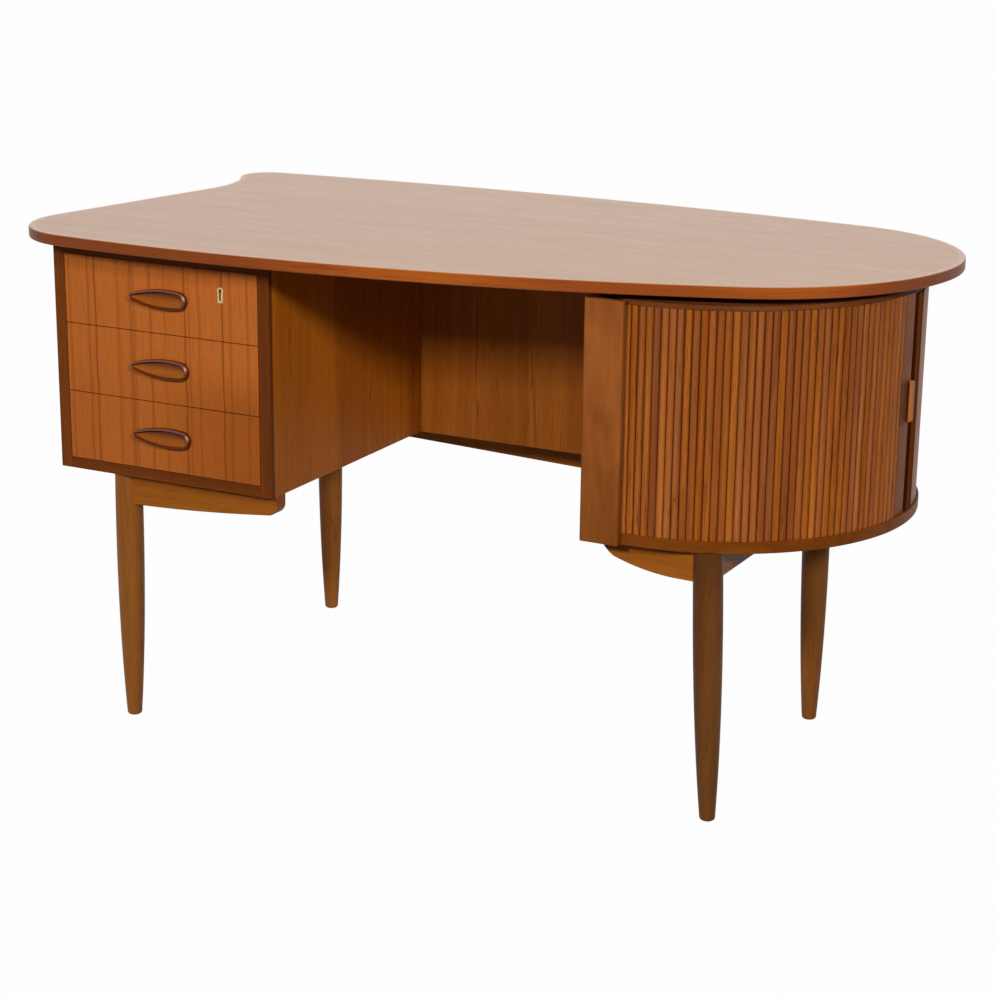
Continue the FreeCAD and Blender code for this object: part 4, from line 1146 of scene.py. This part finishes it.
side_rail_low, stretcher_low = 334.7, 327
heads = {name: ends[0] for name, ends in leg_ends.items()}
bars = [("side_rail_left", side_rail_teak, "front_left", "rear_left", side_rail_low),
        ("side_rail_right", side_rail_teak, "front_right", "rear_right", side_rail_low),
        ("stretcher", rail_teak, "rear_left", "rear_right", stretcher_low)]
for node, finish, first, last, low in bars:
    piece(node + "_bar", [shell(rail(heads[first], heads[last], low))], finish, "frame", [node])
print(len(bars), "rails on", len(heads), "legs")

# %% [markdown]
# ## Inside pieces
# Drawer boxes, runners, battens and the lock show only when something is open. Their solids are right as they
# are, so they keep them and only get a finish: pale beech for the boxes, and brushed steel for the lock.

# %% Inside finishes
lock_steel, wire, shader = new_finish("lock_steel")
brushed = wire.spot().stretch((0.1, 1, 1)).noise(1.5, 2.0).fade(0.3, 0.7)
feed(shader, "Base Color", brushed.blend(rgb(0.42, 0.41, 0.39), rgb(0.55, 0.54, 0.52)))
feed(shader, "Metallic", 1.0)
feed(shader, "Roughness", 0.35 + brushed * 0.15)
emboss(shader, brushed, 0.2, 0.00005)
levels, kinds = ("lower", "middle", "upper"), ("walls", "bottom")
boxes = ["drawer_%s_%s" % (level, kind) for level in levels for kind in kinds]
battens = ["batten_%s_%s" % (carcass, side)
           for carcass in ("pedestal", "cabinet") for side in ("left", "right")]
kept = {beech: boxes + ["runners_left", "runners_right"] + battens,
        carcass_veneer: ["pedestal_top", "cabinet_back"],
        lock_steel: ["lock_case", "lock_bolt"]}
for finish, nodes in kept.items():
    for node in nodes:
        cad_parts[node].material_slots[0].material = finish
print("kept solids:", sum(len(nodes) for nodes in kept.values()))

# %% [markdown]
# ## Floor and light
# Two soft boxes stand beside the camera, one straight in front of the desk and one to its right, so the
# kneehole keeps a deep shadow under the top. A lamp behind keeps the back readable. None of them shows as a
# mirror image in the oil. The room is white where the camera or a reflection looks at it and dim as a light,
# so that a white background costs no shadow.


# %% Floor
def seen_rays(wire):
    """1 where a camera, mirror or glass ray looks, and 0 for the rays that carry soft light."""
    kinds = ("Is Camera Ray", "Is Glossy Ray", "Is Transmission Ray")
    rays = [wire.node("LightPath", {}, {}, name) for name in kinds]
    return rays[0].maths("MAXIMUM", rays[0], rays[1].maths("MAXIMUM", rays[1], rays[2]))


floor_reach = 30
floor_mesh = bpy.data.meshes.new("floor")
floor_corners = [(x * floor_reach, y * floor_reach, 0) for x, y in ((-1, -1), (1, -1), (1, 1), (-1, 1))]
floor_mesh.from_pydata(floor_corners, [], [(0, 1, 2, 3)])
floor = bpy.data.objects.new("floor", floor_mesh)
bpy.context.scene.collection.objects.link(floor)
pale_floor, wire, shader = new_finish("pale_floor")
feed(shader, "Base Color", rgb(0.2, 0.2, 0.2))
feed(shader, "Roughness", 0.9)
glow = wire.node("Emission", {}, {"Color": rgb(1, 1, 1), "Strength": 1.0})
inputs = {0: seen_rays(wire) * 0.985, 1: Wire(wire.tree, shader.outputs[0]), 2: glow}
mixed = wire.node("MixShader", {}, inputs)
wire.tree.links.new(mixed.socket, wire.tree.nodes["Material Output"].inputs["Surface"])
floor_mesh.materials.append(pale_floor)
print("floor", 2 * floor_reach, "m wide")

# %% Room
world = bpy.data.worlds.new("white_room")
world.use_nodes = True
bpy.context.scene.world = world
room = Wire(world.node_tree)
dim = world.node_tree.nodes["Background"]
feed(dim, "Color", rgb(1, 1, 1))
feed(dim, "Strength", 0.015)
white = room.node("Background", {}, {"Color": rgb(1, 1, 1), "Strength": 1.0})
both = room.node("MixShader", {}, {0: seen_rays(room), 1: Wire(room.tree, dim.outputs[0]), 2: white})
room.tree.links.new(both.socket, world.node_tree.nodes["World Output"].inputs["Surface"])
print("room of", len(world.node_tree.nodes), "nodes")


# %% Lamps
def soft_box(name, azimuth, elevation, distance, size, power):
    """A square lamp on a sphere round the desk's middle, facing it. Azimuth 0 is the front, 90 the right."""
    a, e = math.radians(azimuth), math.radians(elevation)
    away = np.array([math.sin(a) * math.cos(e), -math.cos(a) * math.cos(e), math.sin(e)])
    lamp = bpy.data.lights.new(name, "AREA")
    lamp.shape, lamp.size, lamp.energy = "SQUARE", size, power
    side = np.cross([0, 0, 1], away)
    side /= np.linalg.norm(side)
    turned = np.eye(4)
    turned[:3, :3] = np.stack([side, np.cross(away, side), away], 1)
    turned[:3, 3] = np.array([0, 0, 0.5]) + away * distance
    box = bpy.data.objects.new(name, lamp)
    bpy.context.scene.collection.objects.link(box)
    box.matrix_world = Matrix(turned)
    box.visible_glossy = False


soft_box("left_soft_box", 0, 25, 4.5, 0.6, 113)
soft_box("right_soft_box", 50, 23.5, 4.5, 0.45, 98)
soft_box("back_soft_box", 195, 35, 4.5, 2.0, 100)
bpy.context.scene.view_settings.view_transform = "Standard"
print("lamps:", len(bpy.data.lights))

# %% [markdown]
# ## Size
# Dressing must not make the desk larger.
